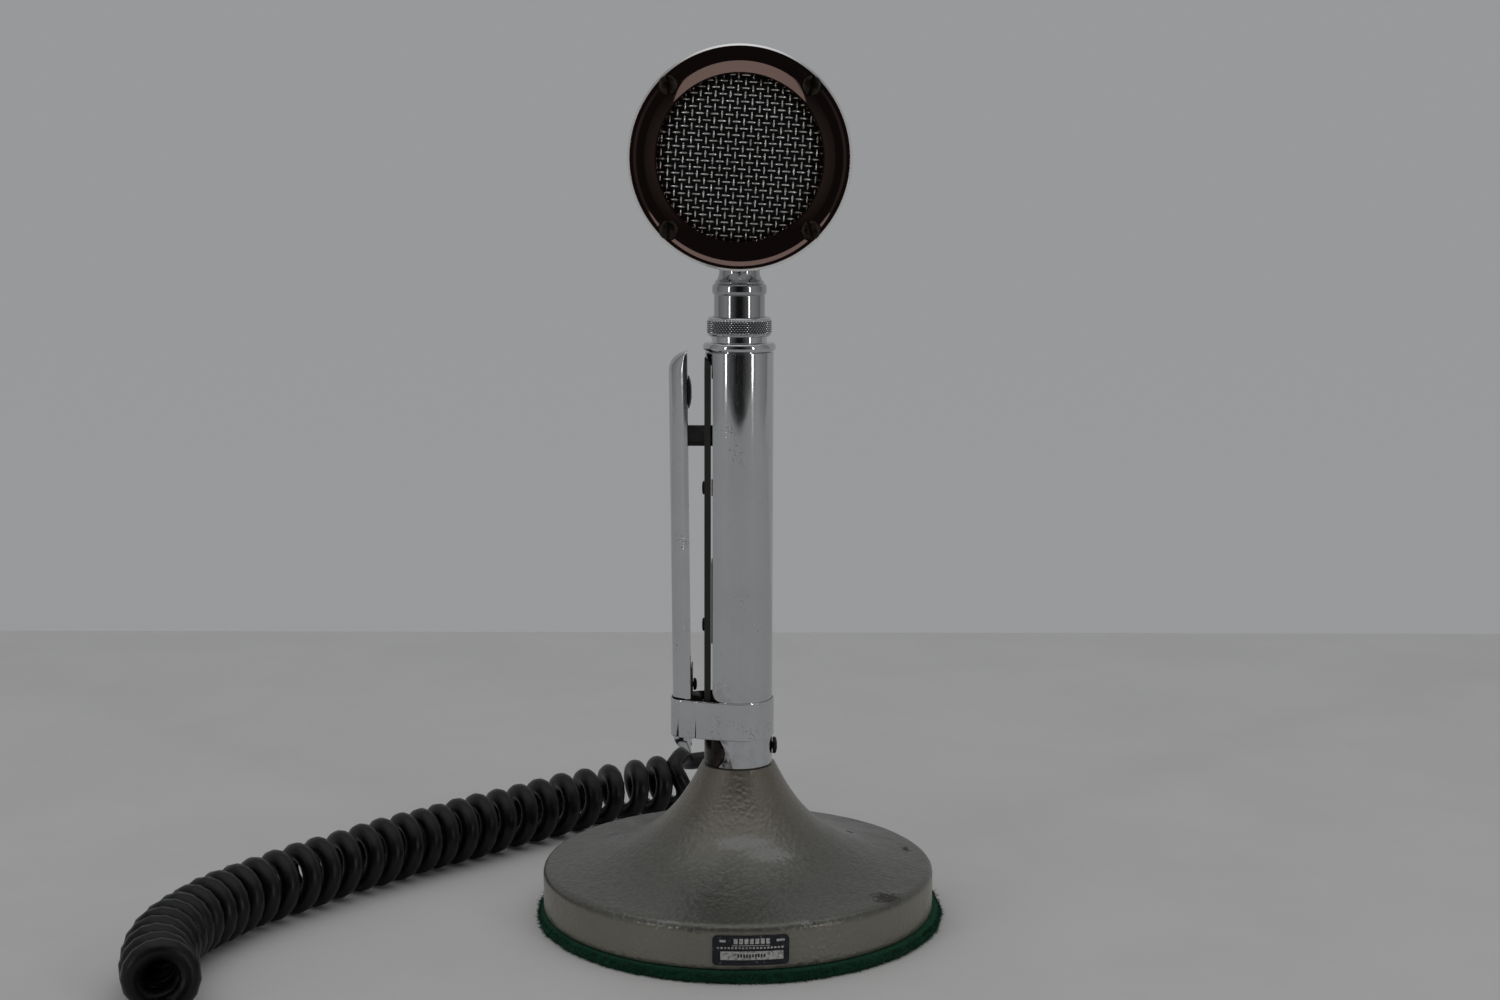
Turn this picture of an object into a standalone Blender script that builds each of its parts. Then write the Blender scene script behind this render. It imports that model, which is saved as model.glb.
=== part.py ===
"""Desktop microphone: a round crystal head plugged into a grip-to-talk stand.

Run with: blender --background --python part.py
Lengths below are millimetres and are scaled to metres when each mesh is made.
The origin is on the table under the column's axis. +Z is up, the microphone faces -Y,
the squeeze bar is on the -X side, and the cord leaves at the back.
"""

import math

import bmesh
import bpy
from mathutils import Euler, Matrix, Vector
from mathutils.geometry import convex_hull_2d

MM = 0.001
GAP = 0.3  # between neighbouring pieces

# Overall
TOTAL_HEIGHT = 305.0
HEAD_RADIUS = 38.1
HEAD_Z = TOTAL_HEIGHT - HEAD_RADIUS
COLUMN_RADIUS = 11.95
COLUMN_WALL = 1.2
COLUMN_BOTTOM = 55.5
COLUMN_TOP = 201.1

# Base
BASE_RADIUS = 69.4
FELT_RADIUS = 72.4
FELT_THICK = 3.6
BASE_BOTTOM = FELT_THICK + GAP
NECK_RADIUS = 13.0
NECK_TOP = 55.2
FLARE_FLOOR = 17.0
FLARE_HEIGHT = 38.2
FLARE_DECAY = 18.3
RIM_ROUND = 2.6
SPIGOT_RADIUS = 10.4
SPIGOT_TOP = 66.0
CABLE_BORE = 7.2

# Column openings
SLOT_HALF_WIDTH = 7.4
SLOT_TOP = 199.3
CORD_OPENING_RADIUS = 11.0
CORD_OPENING_Z = 60.8

# Grip bar, in its own frame: u runs from the bar towards the column, w runs up, the pivot is at 0
PIVOT = Vector((-18.6, 0.0, 69.5))
BAR_LEAN = math.radians(-0.64)
BAR_EDGE_U = 1.85
BAR_DEPTH = 6.35
BAR_HALF_WIDTH = 6.0
BAR_CORNER = 4.8
BAR_WALL = 1.0
BAR_TOP_W = 124.9
BAR_BOTTOM_W = -4.9
BAR_TOP_CAP = 6.8
BAR_BOTTOM_CAP = 5.0

# Talk switch
STRIP_FACE_X = -12.0
STRIP_BACK_X = -9.9
STRIP_SCREW_Z = (153.5, 104.9)
PLUNGER_Z = 171.8
PLUNGER_RADIUS = 3.65
CONTACT_PIVOT = Vector((-6.3, 0.0, 128.0))

# Lock band
BAND_LOW = 65.6
BAND_HIGH = 79.0
BAND_THICK = 0.5
BAND_LEFT_X = -23.95

# Cord
CORD_RADIUS = 3.5
COIL_RADIUS = 12.2
COIL_Z = 12.3
TURN_RADIUS = COIL_RADIUS - CORD_RADIUS
EXIT_DIRECTION = Vector((-math.sin(math.radians(10)), math.cos(math.radians(10)), 0.0))
EXIT_Z = 60.6
BUSH_NOSE = 24.0
LEAD_ROUTE = (
    (-6.2, 37.0, 59.8), (-5.6, 53.0, 56.2), (-2.2, 69.0, 49.4), (2.2, 85.0, 41.0), (6.0, 100.0, 32.8),
    (9.0, 114.0, 26.2), (10.4, 127.0, 21.8), (7.4, 138.3, 19.4), (0.1, 143.2, 18.2),
)
LEAD_ANGLE = math.radians(38)  # where the lead meets the coil's end: above the level of its centre, on its far side
COIL_ROUTE = (
    (-11.0, 133.7), (-20.0, 129.3), (-35.0, 119.8), (-51.0, 110.0), (-68.0, 96.5), (-84.0, 81.0),
    (-98.0, 67.5), (-111.0, 54.0), (-124.0, 40.5), (-136.0, 27.0), (-148.0, 12.5), (-160.0, -3.5),
    (-171.0, -19.0), (-179.6, -36.0), (-185.2, -53.0), (-186.6, -70.0), (-184.2, -86.0), (-178.6, -101.0),
)
TAIL_ROUTE = (
    (-174.8, -111.5, 3.6), (-168.8, -125.0, 3.6), (-159.0, -137.0, 3.7), (-145.0, -145.5, 4.5),
    (-128.0, -149.5, 6.4), (-112.0, -150.0, 8.0), (-104.0, -150.0, 8.3),
)
PLUG_START = Vector((-103.7, -150.0, 8.3))


# ---------------------------------------------------------------- helpers

def clear_scene():
    for obj in list(bpy.data.objects):
        bpy.data.objects.remove(obj, do_unlink=True)


def material(name, colour, metallic, roughness):
    mat = bpy.data.materials.new(name)
    mat.use_nodes = True
    shader = mat.node_tree.nodes["Principled BSDF"]
    shader.inputs["Base Color"].default_value = (*colour, 1.0)
    shader.inputs["Metallic"].default_value = metallic
    shader.inputs["Roughness"].default_value = roughness
    return mat


def empty(name, location, rotation=(0.0, 0.0, 0.0)):
    """A joint's frame. Its location is in millimetres."""
    frame = bpy.data.objects.new(name, None)
    frame.location = Vector(location) * MM
    frame.rotation_euler = rotation
    bpy.context.scene.collection.objects.link(frame)
    return frame


def mesh_object(name, bm, parent=None, world=True):
    """An object from a mesh in millimetres. world says that the mesh isn't in the parent's own frame yet."""
    if parent is not None and world:
        bmesh.ops.translate(bm, verts=bm.verts, vec=-parent.location / MM)
    bmesh.ops.scale(bm, verts=bm.verts, vec=(MM, MM, MM))
    mesh = bpy.data.meshes.new(name)
    bm.to_mesh(mesh)
    bm.free()
    obj = bpy.data.objects.new(name, mesh)
    obj.parent = parent
    bpy.context.scene.collection.objects.link(obj)
    return obj


def node(name, bm, mat, parent=None, world=True, sharp=35):
    obj = mesh_object(name, bm, parent, world)
    obj.data.materials.append(mat)
    obj.data.shade_smooth()
    obj.data.set_sharp_from_angle(angle=math.radians(sharp))
    return obj


def boolean(obj, bm, operation="DIFFERENCE", world=True):
    """Cuts or joins obj with a hidden tool mesh, given in the same frame as obj's own mesh was."""
    tool = mesh_object(f"tool_{obj.name}_{len(obj.modifiers)}", bm, obj.parent, world)
    tool.hide_render = True
    tool.display_type = "WIRE"
    modifier = obj.modifiers.new(f"{operation.title()} {len(obj.modifiers)}", "BOOLEAN")
    modifier.operation = operation
    modifier.object = tool
    modifier.solver = "EXACT"


def turn_to(axis):
    """The rotation that takes +Z to the given direction."""
    return Vector((0, 0, 1)).rotation_difference(Vector(axis)).to_matrix().to_4x4()


def lathe(outline, steps=48, axis=(0, 0, 1), centre=(0, 0, 0)):
    """A closed (radius, height) outline turned about axis. Height is measured from centre along axis."""
    bm = bmesh.new()
    points = [bm.verts.new((radius, 0.0, height)) for radius, height in outline]
    for first, second in zip(points, points[1:] + points[:1]):
        if first.co.x > 0 or second.co.x > 0:
            bm.edges.new((first, second))
    bmesh.ops.spin(
        bm, geom=bm.verts[:] + bm.edges[:], cent=(0, 0, 0), axis=(0, 0, 1), dvec=(0, 0, 0),
        angle=2 * math.pi, steps=steps, use_merge=True, use_duplicate=False,
    )
    bmesh.ops.remove_doubles(bm, verts=bm.verts, dist=1e-4)
    bmesh.ops.recalc_face_normals(bm, faces=bm.faces)
    bm.transform(Matrix.Translation(centre) @ turn_to(axis))
    return bm


def rod(radius, start, end, steps=24):
    """A plain cylinder between two points."""
    start, end = Vector(start), Vector(end)
    length = (end - start).length
    return lathe([(0, 0), (radius, 0), (radius, length), (0, length)], steps, end - start, start)


def prism(outline, low, high, normal="Z"):
    """An outline extruded from low to high. Its plane is XY, XZ or YZ, after the direction of normal."""
    place = {"Z": lambda a, b: (a, b, low), "Y": lambda a, b: (a, low, b), "X": lambda a, b: (low, a, b)}[normal]
    move = {"Z": (0, 0, high - low), "Y": (0, high - low, 0), "X": (high - low, 0, 0)}[normal]
    bm = bmesh.new()
    face = bm.faces.new([bm.verts.new(place(a, b)) for a, b in outline])
    top = bmesh.ops.extrude_face_region(bm, geom=[face])
    bmesh.ops.translate(bm, verts=[v for v in top["geom"] if isinstance(v, bmesh.types.BMVert)], vec=move)
    bmesh.ops.recalc_face_normals(bm, faces=bm.faces)
    return bm


def block(low, high):
    (x0, y0, z0), (x1, y1, z1) = low, high
    return prism([(x0, y0), (x1, y0), (x1, y1), (x0, y1)], z0, z1)


def arc(centre, radius, start_deg, end_deg, steps=6):
    """Points along an arc. radius may be a pair, for an ellipse's quarter."""
    rx, ry = radius if isinstance(radius, tuple) else (radius, radius)
    angles = [math.radians(start_deg + (end_deg - start_deg) * i / steps) for i in range(steps + 1)]
    return [(centre[0] + rx * math.cos(a), centre[1] + ry * math.sin(a)) for a in angles]


def rounded_box(x0, y0, x1, y1, radius, steps=5):
    return (
        arc((x1 - radius, y1 - radius), radius, 0, 90, steps)
        + arc((x0 + radius, y1 - radius), radius, 90, 180, steps)
        + arc((x0 + radius, y0 + radius), radius, 180, 270, steps)
        + arc((x1 - radius, y0 + radius), radius, 270, 360, steps)
    )


def shell_between(outer, inner):
    """A closed shell between two grids of points of one size, joined round their borders."""
    bm = bmesh.new()
    outer = [[bm.verts.new(p) for p in row] for row in outer]
    inner = [[bm.verts.new(p) for p in row] for row in inner]
    rows, columns = len(outer), len(outer[0])
    for grid in (outer, inner):
        for i in range(rows - 1):
            for j in range(columns - 1):
                bm.faces.new((grid[i][j], grid[i][j + 1], grid[i + 1][j + 1], grid[i + 1][j]))
    for i in (0, rows - 1):
        for j in range(columns - 1):
            bm.faces.new((outer[i][j], outer[i][j + 1], inner[i][j + 1], inner[i][j]))
    for j in (0, columns - 1):
        for i in range(rows - 1):
            bm.faces.new((outer[i][j], outer[i + 1][j], inner[i + 1][j], inner[i][j]))
    bmesh.ops.recalc_face_normals(bm, faces=bm.faces)
    return bm


def smooth_route(points, spacing):
    """Evenly spaced points along a Catmull-Rom curve through the given points."""
    points = [Vector(p) for p in points]
    ends = [2 * points[0] - points[1], *points, 2 * points[-1] - points[-2]]
    fine = []
    for a, b, c, d in zip(ends, ends[1:], ends[2:], ends[3:]):
        for i in range(24):
            t = i / 24
            fine.append(
                0.5 * (2 * b + (c - a) * t + (2 * a - 5 * b + 4 * c - d) * t**2 + (3 * b - a - 3 * c + d) * t**3)
            )
    fine.append(points[-1])
    reach = [0.0]
    for a, b in zip(fine, fine[1:]):
        reach.append(reach[-1] + (b - a).length)
    count = max(2, round(reach[-1] / spacing))
    route, k = [], 0
    for i in range(count + 1):
        target = reach[-1] * i / count
        while k < len(reach) - 2 and reach[k + 1] < target:
            k += 1
        part = (target - reach[k]) / (reach[k + 1] - reach[k])
        route.append(fine[k].lerp(fine[k + 1], min(part, 1.0)))
    return route


def tube_node(name, route, radius, mat, resolution=3):
    """A filled curve along the route, with flat caps."""
    curve = bpy.data.curves.new(name, "CURVE")
    curve.dimensions = "3D"
    curve.bevel_depth = radius * MM
    curve.bevel_resolution = resolution
    curve.use_fill_caps = True
    spline = curve.splines.new("POLY")
    spline.points.add(len(route) - 1)
    for point, place in zip(spline.points, route):
        point.co = (*(Vector(place) * MM), 1.0)
    curve.materials.append(mat)
    obj = bpy.data.objects.new(name, curve)
    bpy.context.scene.collection.objects.link(obj)
    return obj


def slotted_screw(name, mat, seat, axis, head_radius, head_height, shank_radius, shank_length, slot_axis, parent=None,
                  world=True, dome=0.5):
    """A slotted screw. seat is the middle of the head's underside, and axis points out of the head."""
    dome_base = head_height * (1 - dome)
    outline = [(0, -shank_length), (shank_radius, -shank_length), (shank_radius, 0), (head_radius, 0)]
    outline += [(head_radius, dome_base)]
    outline += arc((0, dome_base), (head_radius, head_height - dome_base), 22, 90, 4)[:-1]
    outline += [(0, head_height)]
    screw = node(name, lathe(outline, 20, axis, seat), mat, parent, world)
    axis, slot_axis = Vector(axis).normalized(), Vector(slot_axis).normalized()
    side = axis.cross(slot_axis)
    half_length, half_width, depth = head_radius * 1.3, head_radius * 0.16, head_height * 0.5
    frame = Matrix((slot_axis, side, axis)).transposed().to_4x4()
    frame.translation = Vector(seat) + axis * (head_height - depth)
    slot = block((-half_length, -half_width, 0), (half_length, half_width, head_height))
    slot.transform(frame)
    boolean(screw, slot, world=world)
    return screw


# ---------------------------------------------------------------- base

def flare_height(radius):
    """Height of the base's bell-shaped top at a radius."""
    return FLARE_FLOOR + FLARE_HEIGHT * math.exp(-(radius - NECK_RADIUS) / FLARE_DECAY)


def make_base(paint, felt, plate):
    shoulder = BASE_RADIUS - RIM_ROUND
    rim_top = flare_height(shoulder)
    side_top = rim_top - RIM_ROUND
    flare_radii = [13.0, 14.6, 17.0, 20.0, 24.0, 29.0, 35.5, 44.0, 54.5]
    outline = [(61.5, BASE_BOTTOM), (BASE_RADIUS - 0.6, BASE_BOTTOM), (BASE_RADIUS, BASE_BOTTOM + 0.6)]
    outline += arc((shoulder, side_top), RIM_ROUND, 0, 84, 5)
    outline += [(radius, flare_height(radius)) for radius in reversed(flare_radii)]
    outline += [(12.6, NECK_TOP), (SPIGOT_RADIUS, NECK_TOP), (SPIGOT_RADIUS, SPIGOT_TOP), (CABLE_BORE, SPIGOT_TOP)]
    outline += [(CABLE_BORE, 8.0), (16.0, 8.0), (16.0, 27.0), (23.0, 27.0), (38.0, 18.5), (61.5, 13.0)]
    base = node("base_casting", lathe(outline, 48), paint)
    # The spigot inside the tube is cut away on the cord's side, so that it's an open half.
    boolean(base, block((-14, -14, NECK_TOP), (3.8, 14, SPIGOT_TOP + 4)))
    boolean(base, rod(1.8, (4, 0, COLUMN_SCREW_Z), (14, 0, COLUMN_SCREW_Z), 16))

    pad = [(0, 0), (FELT_RADIUS - 0.5, 0), (FELT_RADIUS, 0.7), (FELT_RADIUS, 2.9), (FELT_RADIUS - 0.6, FELT_THICK),
           (0, FELT_THICK)]
    node("felt_pad", lathe(pad, 48), felt)
    make_nameplate(plate)


def make_nameplate(mat):
    """A thin plate with rounded corners that follows the rim. Its middle is a little right of the front."""
    half_length, low, high, corner, centre_deg = 12.55, 5.7, 15.6, 1.4, 3.5
    inside, outside = BASE_RADIUS + 0.15, BASE_RADIUS + 0.75
    lengths = [corner * (1 - math.cos(math.radians(15 * i))) for i in range(7)]
    stations = [-half_length + part for part in lengths] + [-7, -3.5, 0, 3.5, 7]
    stations += [half_length - part for part in reversed(lengths)]

    def rows(radius):
        grid = []
        for s in stations:
            inset = max(0.0, corner - (half_length - abs(s)))
            drop = corner - math.sqrt(max(corner**2 - inset**2, 0.01))
            angle = math.radians(centre_deg) + s / BASE_RADIUS
            x, y = radius * math.sin(angle), -radius * math.cos(angle)
            grid.append([(x, y, low + drop), (x, y, high - drop)])
        return grid

    node("nameplate", shell_between(rows(outside), rows(inside)), mat)


# ---------------------------------------------------------------- column

def make_column(chrome, black, brass, brown, dark_screw, insulator):
    inside = COLUMN_RADIUS - COLUMN_WALL
    wall = [(inside, COLUMN_BOTTOM), (COLUMN_RADIUS, COLUMN_BOTTOM), (COLUMN_RADIUS, COLUMN_TOP), (inside, COLUMN_TOP)]
    tube = node("column_tube", lathe(wall, 48), chrome)
    slot = rounded_box(-SLOT_HALF_WIDTH, 62, SLOT_HALF_WIDTH, SLOT_TOP, 5.0)
    boolean(tube, prism(slot, -16, -6, "X"))
    boolean(tube, rod(CORD_OPENING_RADIUS, (-16, 0, CORD_OPENING_Z), (-2, 0, CORD_OPENING_Z), 32))
    boolean(tube, rod(4.9, (0, 0, EXIT_Z), EXIT_DIRECTION * 16 + Vector((0, 0, EXIT_Z)), 24))
    boolean(tube, rod(1.8, (6, 0, COLUMN_SCREW_Z), (14, 0, COLUMN_SCREW_Z), 16))
    slotted_screw("column_screw", dark_screw, (12.2, 0, COLUMN_SCREW_Z), (1, 0, 0), 2.95, 1.6, 1.4, 4.6, (0, 1, 0))

    flange = [(7.9, 192.0), (SPIGOT_RADIUS, 192.0), (SPIGOT_RADIUS, 201.4), (11.9, 201.4)]
    flange += arc((11.6, 202.6), (1.08, 1.2), -60, 60, 4)
    flange += [(11.7, 203.9), (11.2, 204.3), (9.6, 204.3), (9.6, 209.2), (9.3, 209.5), (7.9, 209.5)]
    collar = node("top_collar", lathe(flange, 32), chrome)
    boolean(collar, block((-14, -14, 190), (-9.55, 14, 201.25)))

    insert = node("socket_insert", lathe([(0, 199.5), (7.6, 199.5), (7.6, 209.2), (0, 209.2)], 24), insulator)
    for x, y in PIN_PLACES:
        boolean(insert, rod(1.35, (x, y, 198), (x, y, 211), 16))

    make_cord_bush(brown)
    route = ((-3, 0, SPIGOT_TOP + 0.5), (-3, 0, 71), (0, 1, 82), (5, 2, 98), (6, 2, 120), (6, 2, 165), (3, 1, 182),
             (0, 0, 193), (0, 0, 199.0))
    tube_node("inner_cable", smooth_route(route, 11), 2.0, black, 2)
    make_switch(black, brass, dark_screw, insulator)


def make_cord_bush(mat):
    """A moulded plug in the foot of the tube, flush in its round opening, with a tapered nose at the back."""
    low, high = COLUMN_BOTTOM + 0.2, SPIGOT_TOP
    core = arc((0, 0), 10.3, 82, 278, 24)
    bush = node("cord_bush", prism(core, low, high), mat)
    pad = mesh_object("tool_bush_pad", lathe([(0, low), (12.1, low), (12.1, high - 0.6), (0, high - 0.6)], 48))
    window = mesh_object("tool_bush_window", rod(10.7, (-14, 0, CORD_OPENING_Z), (-5, 0, CORD_OPENING_Z), 40))
    keep = pad.modifiers.new("Window", "BOOLEAN")
    keep.operation = "INTERSECT"
    keep.object = window
    keep.solver = "EXACT"
    for tool in (pad, window):
        tool.hide_render = True
        tool.display_type = "WIRE"
    join = bush.modifiers.new("Pad", "BOOLEAN")
    join.operation = "UNION"
    join.object = pad
    join.solver = "EXACT"
    nose = [(0, 6.0), (4.4, 6.0), (4.4, 15.5), (4.0, 18.0), (3.8, BUSH_NOSE - 0.4), (3.5, BUSH_NOSE), (0, BUSH_NOSE)]
    boolean(bush, lathe(nose, 24, EXIT_DIRECTION, (0, 0, EXIT_Z)), "UNION")


def make_switch(black, brass, dark_screw, insulator):
    strip = node("switch_strip", prism(rounded_box(-7.0, 73.0, 7.0, 199.0, 4.7), STRIP_FACE_X, STRIP_BACK_X, "X"), black)
    boolean(strip, rod(PLUNGER_RADIUS + GAP, (-14, 0, PLUNGER_Z), (-8, 0, PLUNGER_Z), 24))
    for label, height, length in (("upper", STRIP_SCREW_Z[0], 4.0), ("lower", STRIP_SCREW_Z[1], 6.4)):
        boolean(strip, rod(1.5, (-14, 0, height), (-8, 0, height), 16))
        seat = (STRIP_FACE_X - 0.1, 0, height)
        slotted_screw(f"strip_screw_{label}", dark_screw, seat, (-1, 0, 0), 2.35, 0.85, 1.1, length, (0, 0, 1))

    nut = lathe([(1.4, 0), (3.0, 0), (3.0, 2.2), (1.4, 2.2)], 6, (1, 0, 0), (STRIP_BACK_X + GAP, 0, STRIP_SCREW_Z[0]))
    node("strip_nut", nut, brass)

    stack = node("contact_stack", block((STRIP_BACK_X + GAP, -5.0, 99.0), (0.2, 5.0, 127.6)), insulator)
    boolean(stack, rod(1.5, (-10, 0, STRIP_SCREW_Z[1]), (-5, 0, STRIP_SCREW_Z[1]), 16))
    boolean(stack, block((-7.1, -3.9, 122.0), (-5.5, 3.9, 129)))
    boolean(stack, block((-1.8, -3.9, 118.0), (-0.6, 3.9, 129)))

    fixed = node("fixed_contact", block((-1.45, -3.5, 118.4), (-0.95, 3.5, 176.0)), brass)
    boolean(fixed, rod(1.6, (-1.75, 0, 173.5), (-1.2, 0, 173.5), 16), "UNION")


def make_contact(mat, frame):
    """The leaf that the plunger pushes. It swings about its clamped end."""
    leaf = node("moving_contact", block((-6.55, -3.5, 123.4), (-6.05, 3.5, 178.0)), mat, frame)
    boolean(leaf, rod(1.6, (-6.3, 0, 173.5), (-5.75, 0, 173.5), 16), "UNION")


def make_plunger(mat, frame):
    """A round push rod from the bar's web to the moving contact."""
    left, right, edge = -22.9, -6.85, 0.35
    outline = [(0, left), (2.0, left), (2.0, -21.6), (PLUNGER_RADIUS - edge, -21.6), (PLUNGER_RADIUS, -21.6 + edge)]
    outline += [(PLUNGER_RADIUS, -8.6), (1.8, -8.4), (1.8, right), (0, right)]
    node("plunger", lathe(outline, 24, (1, 0, 0), (0, 0, PLUNGER_Z)), mat, frame)


# ---------------------------------------------------------------- grip bar

def bar_section(depth, half_width, corner, w):
    """One cross-section of the channel, from edge to edge round its web."""
    corner_u = min(corner, 0.85 * depth)
    web = BAR_EDGE_U - depth
    lower = arc((web + corner_u, -half_width + corner), (corner_u, corner), 270, 180, 5)
    upper = arc((web + corner_u, half_width - corner), (corner_u, corner), 180, 90, 5)
    section = [(BAR_EDGE_U, -half_width), *lower, *upper, (BAR_EDGE_U, half_width)]
    return [(u, y, w) for u, y in section]


def bar_surface(inset, least):
    """Cross-sections from the bar's lower tip to its upper tip, inset by the wall for the inner face."""
    depth, half_width, corner = BAR_DEPTH - inset, BAR_HALF_WIDTH - inset, BAR_CORNER - inset
    rows = []
    for i in range(7):
        angle = math.radians(90 - 15 * i)
        w = BAR_BOTTOM_W - (BAR_BOTTOM_CAP - inset) * math.sin(angle)
        rows.append(bar_section(max(depth * math.cos(angle), least), half_width, corner, w))
    for i in range(7):
        angle = math.radians(15 * i)
        w = BAR_TOP_W + (BAR_TOP_CAP - inset) * math.sin(angle)
        rows.append(bar_section(max(depth * math.cos(angle), least), half_width, corner, w))
    return rows


def make_grip(chrome, black, dark_screw, steel, frame):
    """The squeeze bar and what rides on it, in the bar's own frame."""
    bar = node("grip_bar", shell_between(bar_surface(0.0, 0.3), bar_surface(BAR_WALL, 0.1)), chrome, frame, False)
    edge = BAR_EDGE_U
    boolean(bar, rod(PIN_RADIUS + GAP, (0, -8, 0), (0, 8, 0), 20), world=False)

    back = edge - 1.55
    section = [(edge - 0.1, -4.6), *arc((back, -1.1), 3.5, 270, 180, 5), *arc((back, 1.1), 3.5, 180, 90, 5),
               (edge - 0.1, 4.6)]
    insert = node("bar_insert", prism(section, 11.9, 20.4), black, frame, False)
    boolean(insert, rod(1.4, (edge - 3, 0, BAR_SCREW_W), (edge + 1, 0, BAR_SCREW_W), 16), world=False)
    leaf = node("return_spring", block((edge + 0.25, -4.8, 11.3), (edge + 0.75, 4.8, 20.8)), steel, frame, False)
    boolean(leaf, rod(1.4, (edge, 0, BAR_SCREW_W), (edge + 1.2, 0, BAR_SCREW_W), 16), world=False)
    seat = (edge + 1.0, 0, BAR_SCREW_W)
    slotted_screw("bar_screw", dark_screw, seat, (1, 0, 0), 2.15, 1.25, 1.1, 2.9, (0, 0.3, 1), frame, False)

    stem, cap = 4.5, 5.85
    outline = [(0, edge - 4.95), (2.2, edge - 4.95), (stem, edge - 1.9), (stem, edge + GAP), (cap, edge + GAP),
               (5.5, edge + 0.75), (4.2, edge + 1.2), (2.4, edge + 1.5), (0, edge + 1.57)]
    node("bar_bumper", lathe(outline, 28, (1, 0, 0), (0, 0, BUMPER_W)), black, frame, False)


def make_pivot(black, steel):
    """The block on the strip that the bar turns on, and its pin."""
    x, z = PIVOT.x, PIVOT.z
    outline = [(-12.9, z - 2.6), (-12.9, 67.2), (-12.3, 67.2), (-12.3, 77.2), (-12.9, 77.2)]
    outline += arc((-14.7, 78.1), 1.8, 0, 90, 5) + arc((-19.2, 78.7), 1.2, 90, 180, 4)
    outline += arc((x, z), 2.6, 180, 270, 6)
    pivot_block = node("pivot_block", prism(outline, -3.3, 3.3, "Y"), black)
    boolean(pivot_block, rod(PIN_RADIUS + GAP, (x, -8, z), (x, 8, z), 20))
    node("pivot_pin", rod(PIN_RADIUS, (x, -5.9, z), (x, 5.9, z), 20), steel)


def make_band(mat, frame):
    """The oval band: a flat loop drawn tight round the tube and the bar's rounded back."""
    radius, half_width = 5.7, 7.25
    column = COLUMN_RADIUS + 0.15 + BAND_THICK

    def loop(inset):
        points = arc((0, 0), column - inset, 0, 360, 56)[:-1]
        for side in (-1, 1):
            centre = (BAND_LEFT_X + radius, side * (half_width - radius))
            points += arc(centre, radius - inset, 0, 360, 32)[:-1]
        return [points[i] for i in convex_hull_2d([Vector(p) for p in points])]

    band = node("lock_band", prism(loop(0.0), BAND_LOW, BAND_HIGH), mat, frame)
    boolean(band, prism(loop(BAND_THICK), BAND_LOW - 1, BAND_HIGH + 1))


# ---------------------------------------------------------------- head

def make_neck(chrome, insulator, brass, steel, frame):
    outline = [(7.6, 209.8), (9.5, 209.8), (9.5, 211.2), (8.84, 211.5), (8.84, 220.4), (9.1, 220.7)]
    outline += arc((8.5, 222.5), (0.95, 1.7), -65, 65, 4)
    outline += [(8.9, 224.5), (8.5, 225.0), (7.75, 226.0), (7.2, 227.4), (7.0, 229.0), (7.2, 231.0), (8.0, 234.0)]
    outline += [(4.0, 234.0), (4.0, 237.6), (2.2, 237.6), (2.2, 219.0), (7.6, 219.0)]
    neck = node("neck_barrel", lathe(outline, 28), chrome, frame)
    cup = prism(arc((0, HEAD_Z), SHELL_RADIUS + GAP, 0, 360, 72)[:-1], -10, 10, "Y")
    collar = prism(arc((0, 0), STUB_RADIUS, 0, 360, 24)[:-1], 226.5, 242)
    outer = mesh_object("tool_neck_cup", cup, frame)
    inner = mesh_object("tool_neck_stub", collar, frame)
    for tool in (outer, inner):
        tool.hide_render = True
        tool.display_type = "WIRE"
    spare = outer.modifiers.new("Stub", "BOOLEAN")
    spare.operation, spare.object, spare.solver = "DIFFERENCE", inner, "EXACT"
    carve = neck.modifiers.new("Cup", "BOOLEAN")
    carve.operation, carve.object, carve.solver = "DIFFERENCE", outer, "EXACT"

    nut = node("neck_nut", lathe([(0, 231.9), (5.4, 231.9), (5.4, 235.4), (0, 235.4)], 6), steel, frame)
    boolean(nut, rod(STUB_RADIUS + GAP, (0, 0, 231), (0, 0, 237), 24))

    insert = node("head_plug_insert", lathe([(0, 210.0), (7.3, 210.0), (7.3, 218.6), (0, 218.6)], 24), insulator, frame)
    for number, (x, y) in enumerate(PIN_PLACES, 1):
        boolean(insert, rod(1.3, (x, y, 209), (x, y, 220), 16))
        node(f"head_plug_pin_{number}", rod(1.0, (x, y, 201.0), (x, y, 218.0), 14), brass, frame)


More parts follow.
